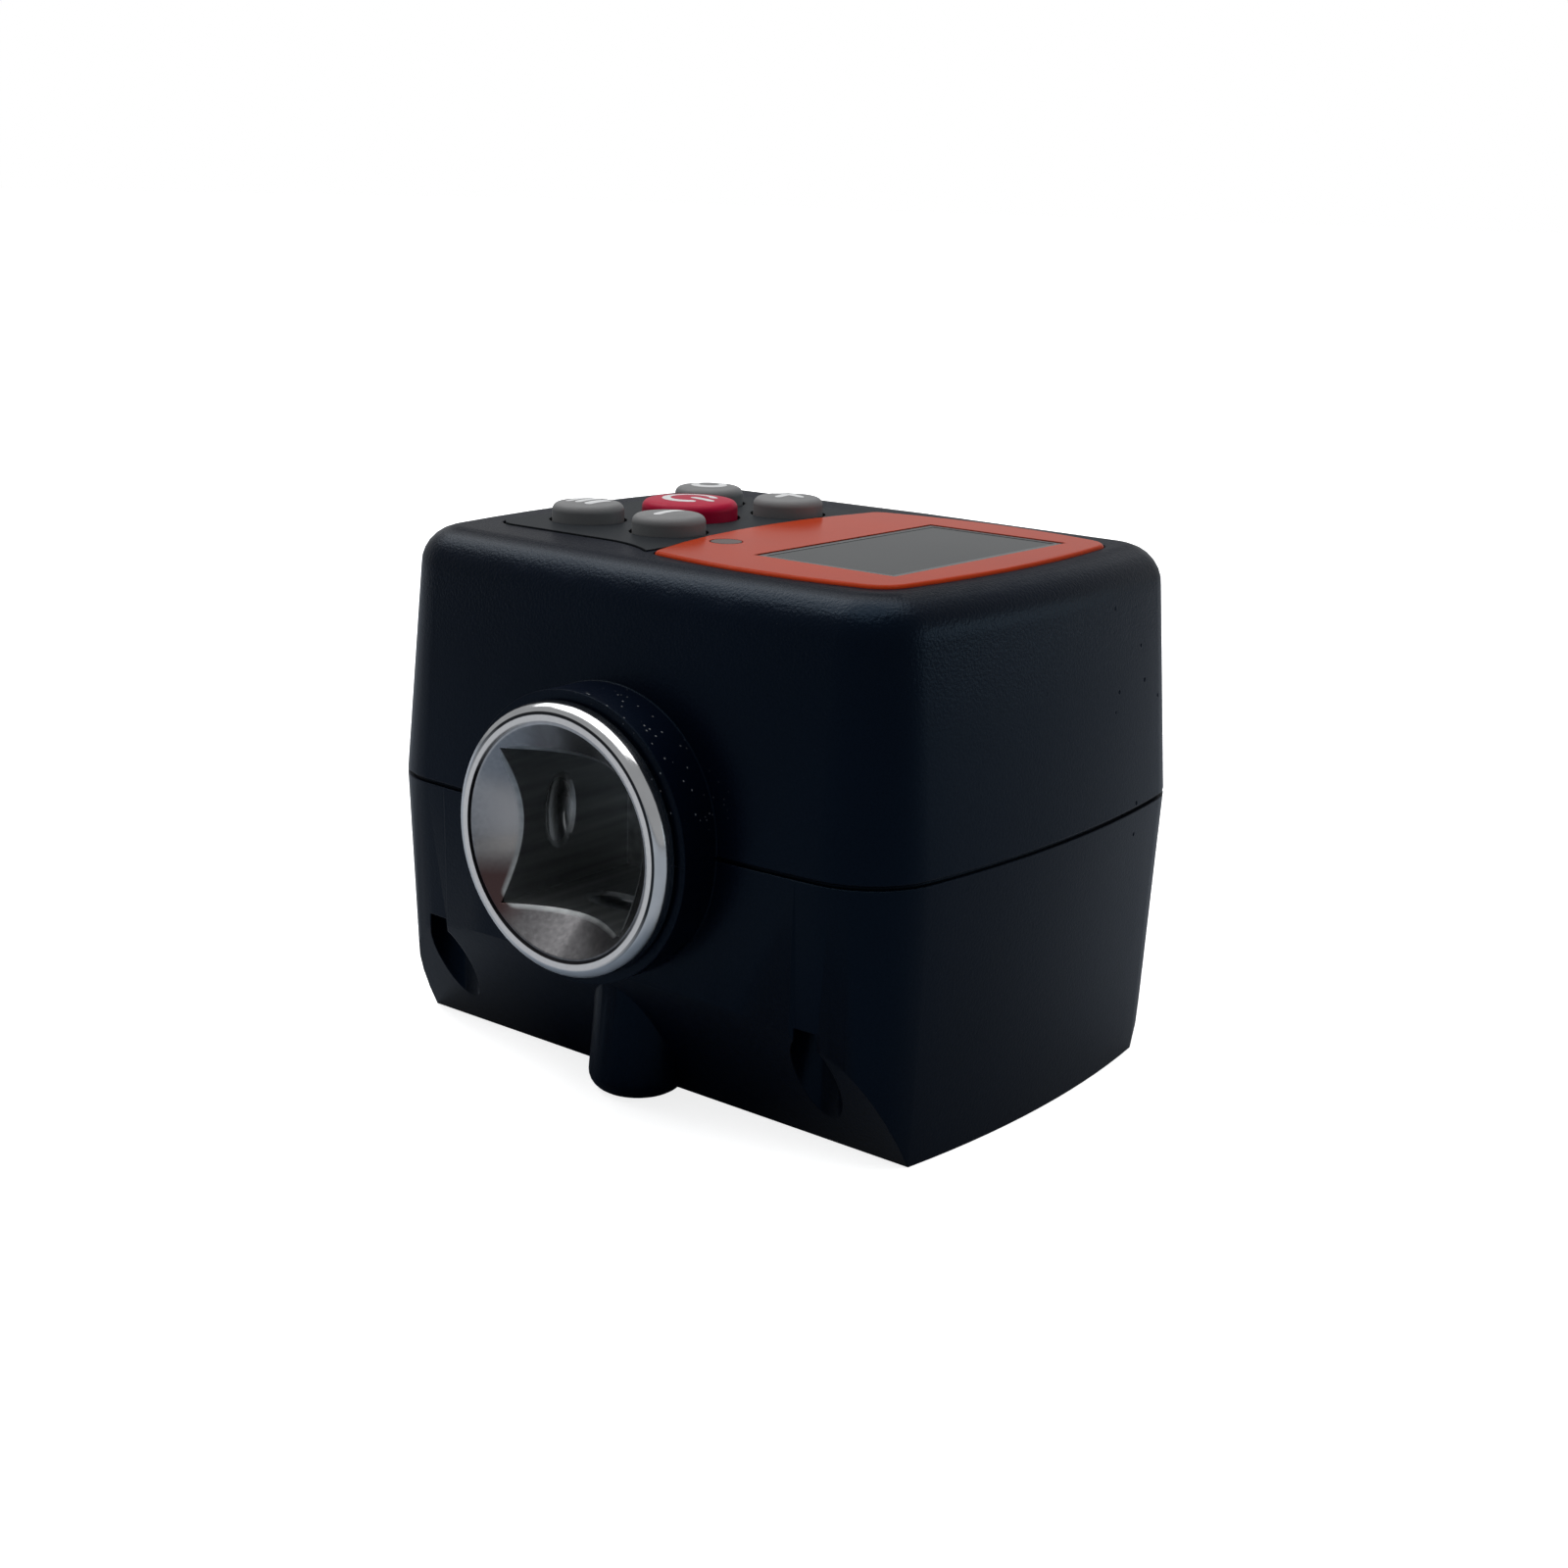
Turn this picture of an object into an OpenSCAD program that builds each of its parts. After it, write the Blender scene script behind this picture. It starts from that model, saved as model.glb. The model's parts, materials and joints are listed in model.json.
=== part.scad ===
// Digital torque meter: an in-line square drive adapter that measures the torque its shaft carries.
// A female square faces the front, a male square leaves the rear, and a display and keys face up.
// Origin: centre of the female square's mouth, on the drive axis.
// +Y runs along the drive axis to the male square, +Z points up to the display, +X is the display's side.

/* [Case] */
// Width of the case at its parting line
case_w = 58; // [57.4:0.2:62]
// Depth of the case at its parting line, front to rear
case_d = 47.2; // [46.8:0.2:52]
// Height of the display face above the drive axis
upper_h = 21.4; // [21:0.2:25]
// Depth of the underside below the drive axis
lower_h = 23.4; // [23:0.2:27]
// Thickness of the moulded walls
wall = 2; // [1.6:0.1:2.2]
// Plan radius of the four upright corners
corner_r = 7; // [6.8:0.1:9]
// Outward bow of the side walls
side_bow = 2.6; // [1.6:0.1:3]
// Outward bow of the front and rear walls
end_bow = 1.2; // [0.6:0.1:1.6]
// Lean of the upper walls between the parting line and the top
upper_draft = 1.7; // [1:0.05:2]
// Lean of the lower walls between the parting line and the bottom
lower_draft = 1; // [0.6:0.05:1.4]
// Radius of the edge round the display face
top_round = 3.4; // [2.6:0.1:4]
// Height of the groove that marks the parting line
groove_h = 0.4; // [0.2:0.05:0.6]
// Depth of that groove
groove_depth = 0.5; // [0.3:0.05:0.8]

/* [Lower relief] */
// Depth below the drive axis at which the front and rear start to lean in
relief_start = 11.3; // [9:0.1:13]
// How far the bottom edge lies behind the front wall
relief_depth = 6.6; // [4.6:0.1:7]
// Radius that softens the top of the relief
relief_round = 4; // [2.6:0.2:8]
// Width of the panel between the corner posts
panel_w = 38.2; // [36:0.2:39]
// Width of the crease at each side of that panel
crease_w = 0.5; // [0.3:0.1:1]
// How far the panel stands proud of the posts where the relief starts
panel_proud = 0.3; // [0.1:0.05:0.5]
// Radius of the round foot moulded below the socket
foot_r = 4.15; // [3.6:0.05:5]
// How far the foot's front lies behind the front wall
foot_inset = 0.55; // [0.5:0.05:2]
// Radius of the foot's bottom edge
foot_round = 1.6; // [1:0.1:3]
// How much narrower the foot is where the relief starts
foot_taper = 0.8; // [0.2:0.1:1.2]

/* [Drive shaft] */
// Distance of the socket's face in front of the case
head_proud = 5.3; // [5:0.1:7]
// Radius of the socket's rim
rim_r = 11.1; // [11:0.1:11.6]
// Length of the rim
rim_len = 1.6; // [1.2:0.1:2.2]
// Round on the rim's front edge
rim_round = 0.9; // [0.4:0.1:1]
// Radius of the shaft where the case holds it
journal_r = 10.5; // [10.2:0.1:10.7]
// Square drive, across its flats
drive = 12.7; // [12.6:0.05:12.8]
// Extra width of the female square
socket_play = 0.2; // [0.1:0.02:0.3]
// Depth of the female square
socket_depth = 15.5; // [14:0.5:17]
// Radius of the countersink at the socket's mouth
countersink_r = 9.4; // [9.2:0.1:9.8]
// Radius of the shallow step round the countersink
mouth_r = 9.7; // [9.5:0.05:10]
// Depth of that step
mouth_step = 0.15; // [0.05:0.05:0.3]
// Radius of the groove's section, turned inside the square for the mating detent ball
recess_r = 2.6; // [2:0.1:3]
// Depth of that groove in the flats
recess_depth = 0.8; // [0.5:0.05:1]
// Distance of that groove from the socket's face
recess_y = 7.3; // [7:0.1:9]
// Radius of the measuring section
gauge_r = 8; // [7:0.1:8.2]
// Length of the measuring section
gauge_len = 23; // [21:0.5:24]
// Fillet at both ends of the measuring section
gauge_fillet = 1.5; // [0.8:0.1:2]
// Height of the flats that carry the strain gauges above the drive axis
gauge_flat = 7.2; // [6.4:0.1:7.4]
// Height above the drive axis of the flats that stop the shaft turning in the case
grip_flat = 9.3; // [9:0.1:9.8]
// Length of those flats
grip_len = 5; // [4:0.2:5.6]
// Length of the male square
male_len = 16.5; // [15:0.5:18]
// Length of the round neck in front of the male square
neck_len = 2.2; // [1.6:0.1:3]
// Radius of that neck
neck_r = 8.2; // [8:0.1:8.8]
// Length of the rear rim
rear_rim_len = 2; // [1.6:0.1:2.6]
// Chamfer on the male square's end
male_chamfer = 1.2; // [0.8:0.1:1.6]
// Radius of the detent ball
ball_r = 2.38; // [2.2:0.02:2.4]
// How far the ball stands out of the male square
ball_proud = 1.2; // [0.8:0.05:1.4]
// Distance of the ball from the male square's end
ball_from_end = 7; // [6.4:0.1:8]
// Radius of the collars that the case forms round the shaft
collar_r = 11.9; // [11.6:0.05:12.4]
// Gap between a collar and the rim in front of it
collar_gap = 0.3; // [0.2:0.05:0.5]

/* [Display] */
// Inset of the window's right edge from the side wall
window_inset = 9.2; // [8.9:0.1:9.5]
// Width of the window
window_w = 13.9; // [13:0.1:14.2]
// Length of the window, front to rear
window_len = 24.6; // [23:0.2:25.4]
// Inset of the bezel's right edge from the side wall
bezel_inset = 5.3; // [5:0.1:6]
// Width of the bezel from the apex of its left edge to its right edge
bezel_w = 27.7; // [27.5:0.05:27.9]
// Inset of the bezel's front edge from the front wall
bezel_front_inset = 5.5; // [5.2:0.1:6.2]
// Inset of the bezel's rear edge from the rear wall
bezel_rear_inset = 6.6; // [5.6:0.1:7]
// Place of the apex of the bezel's left edge, behind the middle of the case
bezel_apex = 1.4; // [0:0.1:2]
// Radius of the bezel's left edge
bezel_left_arc = 56; // [50:1:80]
// Radius of the bezel's right edge
bezel_right_arc = 88; // [70:1:120]
// Radius of the bezel's front and rear edges
bezel_end_arc = 46; // [40:1:80]
// Radius of the bezel's right corners
bezel_corner_r = 3; // [2:0.1:5]
// Radius of the bezel's left tips
bezel_tip_r = 1.6; // [0.8:0.1:2.4]
// How far the bezel stands above the display face
bezel_proud = 0.25; // [0.1:0.05:0.6]
// Depth of the bezel's seat in the case
bezel_seat = 0.9; // [0.7:0.05:1]
// Round on the bezel's top edge
bezel_round = 0.4; // [0.2:0.05:0.6]
// Width of the ledge that carries the window lens
lens_ledge = 0.8; // [0.5:0.1:1.2]
// Radius of the indicator lens
indicator_r = 1.3; // [1:0.1:1.4]
// Distance of the indicator lens from the apex of the bezel's left edge
indicator_inset = 4; // [3.6:0.1:4.6]
// Distance of the indicator lens from the bezel's front edge
indicator_front = 9.4; // [8.1:0.1:10]

/* [Keypad] */
// Inset of the keypad panel's left edge from the side wall
keypad_inset = 7.4; // [7:0.1:7.8]
// Inset of the keypad panel's front and rear edges from the end walls
keypad_end_inset = 9.3; // [8.6:0.1:9.8]
// Radius of the keypad panel's left corners
keypad_corner_r = 2.5; // [1.5:0.1:3.5]
// How far the panel flares at the bezel's tips
keypad_flare = 2; // [1.5:0.1:2.4]
// Thickness of the keypad panel
keypad_t = 1.2; // [1:0.05:1.4]
// How far the keypad panel stands above the display face
keypad_proud = 0.1; // [0:0.05:0.3]
// Distance of the middle key from the keypad panel's left edge
key_inset = 9.6; // [9:0.1:9.7]
// Place of the middle key, behind the middle of the case
key_y = 0.5; // [0:0.1:0.8]
// Spacing of the outer keys, left to right
key_pitch_x = 9.4; // [9:0.1:9.8]
// Spacing of the outer keys, front to rear
key_pitch_y = 16.2; // [15.6:0.1:17]
// Radius of the four outer keys
key_r = 3.15; // [2.8:0.05:3.2]
// Radius of the middle key
power_key_r = 4.25; // [3.8:0.05:4.4]
// Height of the keys above the keypad panel
key_h = 1.75; // [1.2:0.05:2]
// How far the keys' tops are crowned
key_crown = 0.2; // [0:0.05:0.3]
// Round on the keys' top edge
key_round = 0.7; // [0.3:0.05:0.8]
// Gap round each key
key_gap = 0.25; // [0.2:0.05:0.3]
// Travel of the keys
key_travel = 0.6; // [0.3:0.05:0.7]

/* [Battery] */
// Radius of a cell
cell_r = 5.25; // [5.1:0.05:5.25]
// Room between the battery bay's ends and the side walls
bay_inset = 4.8; // [4.6:0.1:5.4]
// Room for contacts and springs at the cells' ends
contact_room = 3.9; // [3.5:0.1:4.5]
// Thickness of the battery door
door_t = 1.6; // [1.4:0.05:1.8]
// Width of the tongue at each side of the door
door_tongue = 1; // [0.7:0.05:1.1]
// Distance of the door's front edge from the middle of the case
door_front = 12.4; // [12.2:0.1:13]
// Gap round the door
door_gap = 0.2; // [0.15:0.05:0.3]

/* [Fasteners] */
// Radius of the wells that the case screws sit in
well_r = 2.1; // [1.9:0.05:2.2]
// Inset of the case screws from the side walls
screw_inset = 8.8; // [8.4:0.1:9.2]
// Inset of the case screws from the front and rear walls
screw_end_inset = 2.95; // [2.8:0.05:3.1]
// Depth of the wells' ends below the drive axis
well_top = 12.2; // [11:0.1:12.6]
// Depth of the screw heads' seat below the drive axis
screw_seat = 8.6; // [7:0.1:9.5]
// Radius of a screw's shank
screw_r = 0.9; // [0.8:0.05:1]
// Radius of a screw's head
screw_head_r = 1.3; // [1.2:0.05:1.35]
// Height of a screw's head
screw_head_h = 1.2; // [0.8:0.1:1.4]
// Length of a case screw's shank
screw_len = 15; // [12:0.5:16]

/* [Electronics] */
// Depth of the main board's upper face below the display face
board_drop = 6.6; // [6.2:0.1:6.8]
// Thickness of the main board
board_t = 1.2; // [0.8:0.1:1.6]
// Width of a key switch
switch_w = 4.5; // [4:0.1:5]
// Height of a key switch's body
switch_h = 2.4; // [2:0.1:2.5]
// Radius of a key switch's plunger
plunger_r = 1.1; // [0.9:0.05:1.4]
// Radius of the sounder
sounder_r = 5; // [4:0.1:5.4]
// Height of the sounder
sounder_h = 3.6; // [2.5:0.1:4]

/* [Hidden] */

// Fineness of round surfaces
$fn = 48;
// Overrun of every cut
over = 1;
// Clearance between pieces that only meet
seat = 0.1;
// Clearance between pieces that must stay apart
apart = 0.3;
// Running clearance of round fits
running = 0.05;
// Segments in each wall and each corner of the plan outline
arc_steps = 7;
// Segments in an edge round
round_steps = 7;

half_w = case_w / 2;
half_d = case_d / 2;
mid_y = head_proud + half_d;
relief_foot = half_d - relief_depth;
foot_y = half_d - foot_inset - foot_r;
bezel_right = half_w - bezel_inset;
bezel_left = bezel_right - bezel_w;
bezel_front = half_d - bezel_front_inset;
bezel_rear = half_d - bezel_rear_inset;
window_x = half_w - window_inset - window_w;
indicator_x = bezel_left + indicator_inset;
indicator_y = bezel_front - indicator_front;
keypad_left = keypad_inset - half_w;
key_x = keypad_left + key_inset;
keypad_len = case_d - 2 * keypad_end_inset;
screw_x = half_w - screw_inset;
screw_y = half_d - screw_end_inset;

// Arcs of the plan outline: the side wall, the end wall and the corner that touches both
side_arc_r = (half_d * half_d + side_bow * side_bow) / (2 * side_bow);
end_arc_r = (half_w * half_w + end_bow * end_bow) / (2 * end_bow);
side_c = half_w - side_arc_r;
end_c = half_d - end_arc_r;
centres = sqrt(side_c * side_c + end_c * end_c);
to_end = [-side_c, end_c] / centres;
reach_1 = side_arc_r - corner_r;
reach_2 = end_arc_r - corner_r;
along = (reach_1 * reach_1 - reach_2 * reach_2 + centres * centres) / (2 * centres);
across = sqrt(reach_1 * reach_1 - along * along);
corner_c = [side_c, 0] + along * to_end + across * [-to_end[1], to_end[0]];
side_turn = atan2(corner_c[1], corner_c[0] - side_c);
end_turn = atan2(corner_c[1] - end_c, corner_c[0]);
crease_turn = acos((panel_w + crease_w) / 2 / end_arc_r);
panel_turn = acos((panel_w - crease_w) / 2 / end_arc_r);

// Heights inside the case
ceiling = upper_h - wall;
panel_top = upper_h + keypad_proud;
panel_floor = panel_top - keypad_t;
bezel_top = upper_h + bezel_proud;
bezel_floor = upper_h - bezel_seat;
board_top = upper_h - board_drop;
board_floor = board_top - board_t;

// Shaft stations along the drive axis, measured from the socket's face
front_wall = head_proud;
rear_wall = head_proud + case_d;
front_collar = rim_len + collar_gap;
rear_collar = rear_wall + head_proud - front_collar;
gauge_front = mid_y - gauge_len / 2;
gauge_rear = mid_y + gauge_len / 2;
grip_front = gauge_rear + grip_len / 4;
rear_rim = rear_collar + collar_gap;
neck_front = rear_rim + rear_rim_len;
male_front = neck_front + neck_len;
male_end = male_front + male_len;
male_corner_r = drive * 0.67;
ball_y = male_end - ball_from_end;
ball_z = drive / 2 + ball_proud - ball_r;
spring_r = ball_r - seat;
spring_wire = 0.35;
ball_seat = -drive / 4;
spring_reach_share = 0.83;
spring_top = ball_z - ball_r * spring_reach_share;
spring_turns = 7;
bore_r = journal_r + seat;

// Seals round the shaft, just inside the end walls
seal_wire = 0.7;
seal_groove = seal_wire + seat;
seal_y = half_d - wall - seal_groove - seat;
boss_r = bore_r + 2 * seal_wire + wall / 2;
boss_len = 2 * seal_groove + wall;

// Relief profile
relief_turn = atan2(half_d - relief_foot, lower_h - relief_start);
relief_c = [half_d - relief_round, relief_round * tan(relief_turn / 2) - relief_start];

// Battery compartment
cell_gap = 0.25;
cell_z = door_t + seat + cell_r - lower_h;
cell_y = cell_r + cell_gap;
bay_wall = 1.1;
bay_x = half_w - bay_inset;
cell_len = 2 * bay_x - contact_room;
door_w = 2 * (bay_x - door_gap);
cell_nub = 1;
bay_y = cell_y + cell_r + cell_gap;
bay_top = cell_z + cell_r + seat;
contact_t = 0.3;
contact_h = 9;
contact_w = 8.4;
contact_wire = 0.3;
grip_count = 4;
grip_pitch = 1.6;
tongue_t = door_t / 2;
tongue_z = door_t / 2 - lower_h + door_gap / 2;
door_floor_t = 1.2;

// Screws that hold the main board, and the posts that they enter
post_r = 2;
board_screw_r = 0.8;
board_head_r = 1.4;
board_head_h = 1;
board_screw_len = 4.6;
post_inset = 8.7;
post_end_inset = 6.9;
post_x = half_w - post_inset;
post_y = half_d - post_end_inset;
screw_boss_r = screw_r + wall * 0.8;
screw_boss_h = 9;

// Keys: place, radius and name by order
key_spots = [
    [key_x - key_pitch_x / 2, key_y - key_pitch_y / 2],
    [key_x + key_pitch_x / 2, key_y - key_pitch_y / 2],
    [key_x, key_y],
    [key_x - key_pitch_x / 2, key_y + key_pitch_y / 2],
    [key_x + key_pitch_x / 2, key_y + key_pitch_y / 2]];
key_radii = [key_r, key_r, power_key_r, key_r, key_r];
flange_w = 0.6;
flange_t = 0.7;
flange_top = panel_floor - seat;
flange_floor = flange_top - flange_t;
stem_len = 0.9;
plunger_top = flange_floor - stem_len;
plunger_floor = board_top + switch_h / 2;
stem_r = 1.4;

// Display stack
glass_t = 2.1;
glass_margin = 1;
glass_top = ceiling - seat;
glass_floor = glass_top - glass_t;
frame_wall = 0.9;
frame_h = glass_top - board_top - glass_t / 2;
window_mid = window_x + window_w / 2;
strip_w = glass_margin * 0.8;
led_size = [2, 1.2, 1];
chip_sizes = [[7, 7, 1], [5, 4, 1.2], [3, 5, 1.1]];
chip_spot_shares = [[0.52, -0.25], [0.53, 0.21], [-0.21, 0.51]];
sounder_inset = 10.4;

gauge_size = [6, 8, 0.2];
flex_t = 0.2;
flex_w = 5;
wire_r = 0.55;
wire_inset = 6.6;
wire_x = half_w - wire_inset;
wire_slack = 1.4;
flex_slack = 1.6;

// One quarter of the plan outline, drawn in by d, from the middle of the side to the middle of the end
function quarter(d, proud) = concat(
    [for (i = [0 : arc_steps - 1])
        [side_c, 0] + (side_arc_r - d) * turn(side_turn * i / arc_steps)],
    [for (i = [0 : arc_steps])
        corner_c + max(corner_r - d, seat) * turn(side_turn + (end_turn - side_turn) * i / arc_steps)],
    [[0, end_c] + (end_arc_r - d) * turn(crease_turn)],
    [for (i = [0 : arc_steps])
        [0, end_c] + (end_arc_r - d + proud) * turn(panel_turn + (90 - panel_turn) * i / arc_steps)]);

function turn(a) = [cos(a), sin(a)];

// The whole plan outline, drawn in by d, with the end panels out by proud
function outline(d, proud = 0) = let (q = quarter(d, proud), m = len(q) - 1) concat(
    [for (i = [0 : m - 1]) q[i]],
    [for (i = [m : -1 : 1]) [-q[i][0], q[i][1]]],
    [for (i = [0 : m - 1]) -q[i]],
    [for (i = [m : -1 : 1]) [q[i][0], -q[i][1]]]);

function level(z, d, proud = 0) = [for (p = outline(d, proud)) [p[0], p[1], z]];

function lean(z) = z > 0 ? upper_draft * z / upper_h : -lower_draft * z / lower_h;

function upper_levels(d, start) = let (top = upper_h - d, r = max(top_round - d, seat)) concat(
    [level(start, d)],
    [for (i = [0 : round_steps]) let (a = 90 * i / round_steps)
        level(top - r + r * sin(a), d + lean(top - r) + r * (1 - cos(a)))]);

function lower_levels(d, start) = [
    level(d - lower_h, d + lean(d - lower_h), d > 0 ? 0 : panel_proud * lower_h / relief_start),
    level(start, d)];

// A closed surface through a list of rings that all have the same number of points
module skin(rings) {
    n = len(rings[0]);
    last = len(rings) - 1;
    sides = [for (k = [0 : last - 1]) for (i = [0 : n - 1]) each [
        [k * n + i, (k + 1) * n + i, (k + 1) * n + (i + 1) % n],
        [k * n + i, (k + 1) * n + (i + 1) % n, k * n + (i + 1) % n]]];
    polyhedron(points = [for (ring = rings) each ring],
        faces = concat([[for (i = [0 : n - 1]) i]], sides, [[for (i = [n - 1 : -1 : 0]) last * n + i]]));
}

// A round tube along a path, with its cross-section set square to the path
function tube_rings(path, r, sides, side_on) = let (last = len(path) - 1)
    [for (k = [0 : last]) let (
        run = path[min(k + 1, last)] - path[max(k - 1, 0)],
        ahead = run / norm(run),
        flat = cross(ahead, side_on),
        right = flat / norm(flat),
        up = cross(ahead, right))
        [for (i = [0 : sides - 1])
            path[k] + r * (cos(360 * i / sides) * right + sin(360 * i / sides) * up)]];

// Points along a coil whose radius runs from r0 to r1 over height h
function coil(r0, r1, h, turns, steps = 12) = [for (k = [0 : turns * steps]) let (s = k / (turns * steps))
    [(r0 + (r1 - r0) * s) * cos(360 * k / steps), (r0 + (r1 - r0) * s) * sin(360 * k / steps), h * s]];

module spring(r0, r1, h, turns, wire) {
    inside = h - 2 * wire;
    skin([for (ring = tube_rings(coil(r0, r1, inside, turns), wire, 6, [0, 0, 1])) ring]);
}

// Cylinder along the drive axis from one station to another
module bar(r, from, to) {
    translate([0, to, 0])
        rotate([90, 0, 0])
            cylinder(r = r, h = to - from);
}

// Prism whose profile lies in the plane of Y and Z
module cross_prism(w, points) {
    rotate([90, 0, 90])
        linear_extrude(height = w, center = true)
            polygon(points);
}

module at_case() {
    translate([0, mid_y, 0])
        children();
}

module at_screws() {
    for (x = [-screw_x, screw_x], y = [-screw_y, screw_y])
        translate([x, y, 0])
            children();
}

module at_posts() {
    for (x = [-post_x, post_x], y = [-post_y, post_y])
        translate([x, y, 0])
            children();
}

// Everything below the leaning face of the relief, drawn in by d
module relief_cut(d) {
    r = relief_round - d;
    foot = relief_c + r * [cos(relief_turn), -sin(relief_turn)];
    run = lower_h;
    far = case_d;
    cross_prism(case_w + 2 * over, concat(
        [for (i = [0 : round_steps]) relief_c + r * turn(-relief_turn * i / round_steps)],
        [foot - run * [sin(relief_turn), cos(relief_turn)],
            [far, foot[1] - run * cos(relief_turn)],
            [far, relief_c[1]]]));
}

module lower_solid(d, start) {
    difference() {
        skin(lower_levels(d, start));
        for (s = [0, 1])
            mirror([0, s, 0])
                relief_cut(d);
    }
}

// Foot that levels the meter, on the front relief
module front_foot() {
    translate([0, -foot_y, -lower_h])
        rotate_extrude()
            polygon(concat(
                [[0, 0]],
                [for (i = [0 : round_steps])
                    [foot_r - foot_round, foot_round] + foot_round * turn(90 * i / round_steps - 90)],
                [[foot_r - foot_taper, lower_h - relief_start],
                    [0, lower_h - relief_start]]));
}

// Both collars and the bosses that hold the seals, as full rounds
module collar_solids() {
    bar(collar_r, front_collar, front_wall + wall);
    bar(collar_r, rear_wall - wall, rear_collar);
}

module seal_bosses() {
    bar(boss_r, front_wall + wall / 2, front_wall + wall + boss_len);
    bar(boss_r, rear_wall - wall - boss_len, rear_wall - wall / 2);
}

module shaft_bore() {
    bar(bore_r, -over, male_end);
    for (s = [-1, 1])
        bar(bore_r + 2 * seal_wire, mid_y + s * seal_y - seal_groove, mid_y + s * seal_y + seal_groove);
}

// Groove that runs round the case at the parting line, on the side that s gives
module parting_groove(s) {
    difference() {
        translate([0, 0, s > 0 ? 0 : -groove_h / 2])
            linear_extrude(height = groove_h / 2)
                difference() {
                    polygon(outline(-over));
                    polygon(outline(groove_depth));
                }
        translate([0, -mid_y, 0])
            bar(collar_r, front_collar, rear_collar);
    }
}

// Rib that stands on the floor under the shaft's lower flat and stops it turning
module grip_rib() {
    translate([-journal_r * 0.8, grip_front + seat, -lower_h])
        cube([journal_r * 1.6, grip_len - 2 * seat, lower_h - grip_flat - seat]);
}

module battery_bay() {
    translate([-half_w, -bay_y - bay_wall, -lower_h])
        cube([case_w, 2 * (bay_y + bay_wall), lower_h + bay_top + bay_wall]);
}

module bay_hollow() {
    translate([-bay_x, -bay_y, -lower_h - over])
        cube([2 * bay_x, 2 * bay_y, lower_h + bay_top + over]);
}

// Way that the door and its tongues slide in, open to the rear
module door_way() {
    far = half_d;
    translate([-door_w / 2 - door_gap, -door_front - door_gap, -lower_h - over])
        cube([door_w + 2 * door_gap, far + door_front, over + door_t + door_gap]);
    translate([-door_w / 2 - door_tongue - door_gap, -door_front - door_gap, tongue_z - door_gap])
        cube([door_w + 2 * (door_tongue + door_gap), far + door_front, tongue_t + 2 * door_gap]);
}

module upper_case() {
    color([0.09, 0.1, 0.11])
        difference() {
            union() {
                at_case()
                    skin(upper_levels(0, 0));
                collar_solids();
            }
            at_case()
                difference() {
                    skin(upper_levels(wall, -over));
                    at_screws()
                        cylinder(r = screw_boss_r, h = screw_boss_h);
                    at_posts()
                        translate([0, 0, board_top])
                            cylinder(r = post_r, h = upper_h - board_top);
                    translate([0, -mid_y, 0])
                        seal_bosses();
                }
            translate([-case_w, -over, -2 * upper_h])
                cube([2 * case_w, 2 * case_d, 2 * upper_h]);
            shaft_bore();
            at_case() {
                parting_groove(1);
                at_screws()
                    translate([0, 0, -over])
                        cylinder(r = screw_r, h = over + screw_boss_h - wall / 2);
                at_posts()
                    translate([0, 0, board_top - over])
                        cylinder(r = board_screw_r, h = over + board_screw_len - board_t);
                bezel_seat_cut();
                keypad_seat_cut();
                key_wells();
                window_cut();
                indicator_cut();
            }
        }
}

// Outward crossing of two circles
function meet(c1, r1, c2, r2) = let (
    gap = norm(c2 - c1),
    u = (c2 - c1) / gap,
    s = (r1 * r1 - r2 * r2 + gap * gap) / (2 * gap))
    c1 + s * u + sqrt(r1 * r1 - s * s) * [-u[1], u[0]];

function heading(v) = atan2(v[1], v[0]);

function after(a, b) = b + 360 * ceil((a - b) / 360);

function sweep(c, r, a, b) = [for (i = [0 : arc_steps]) c + r * turn(a + (after(a, b) - a) * i / arc_steps)];

// Outline of the bezel, drawn in by d: four large arcs, in order right, rear, left and front, with round corners
function bezel_outline(d) = let (
    mid_x = (bezel_left + bezel_right) / 2,
    cs = [[bezel_right - bezel_right_arc, 0],
        [mid_x, bezel_rear - bezel_end_arc],
        [bezel_left + bezel_left_arc, bezel_apex],
        [mid_x, bezel_end_arc - bezel_front]],
    rs = [bezel_right_arc, bezel_end_arc, bezel_left_arc, bezel_end_arc],
    cr = [bezel_corner_r, bezel_tip_r, bezel_tip_r, bezel_corner_r],
    corners = [for (k = [0 : 3]) meet(cs[k], rs[k] - cr[k], cs[(k + 1) % 4], rs[(k + 1) % 4] - cr[k])])
    [for (k = [0 : 3]) let (
        now = corners[k],
        last = corners[(k + 3) % 4],
        next = cs[(k + 1) % 4],
        edge = sweep(cs[k], rs[k] - d, heading(last - cs[k]), heading(now - cs[k])),
        bend = sweep(now, cr[k] - d, heading(now - cs[k]), heading(now - next)))
        each concat([for (i = [1 : arc_steps - 1]) edge[i]], bend)];

module bezel_seat_cut() {
    translate([0, 0, bezel_floor])
        linear_extrude(height = upper_h)
            polygon(bezel_outline(-seat));
}

// Outline of the keypad panel, grown by d: straight on the left, bezel's arc on the right, flared ends between
function keypad_outline(d) = let (
    half = keypad_len / 2 + d,
    left = keypad_left - d,
    r = keypad_corner_r + d,
    edge = bezel_left + keypad_flare,
    flare_x = edge - 3 * keypad_flare)
    concat(
        [for (i = [0 : arc_steps]) [left + r, r - half] + r * turn(180 + 90 * i / arc_steps)],
        [for (i = [0 : arc_steps]) let (s = i / arc_steps)
            [flare_x + (edge - flare_x) * s, -half - keypad_flare * s * s]],
        [for (i = [arc_steps : -1 : 0]) let (s = i / arc_steps)
            [flare_x + (edge - flare_x) * s, half + keypad_flare * s * s]],
        [for (i = [0 : arc_steps]) [left + r, half - r] + r * turn(90 + 90 * i / arc_steps)]);

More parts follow.
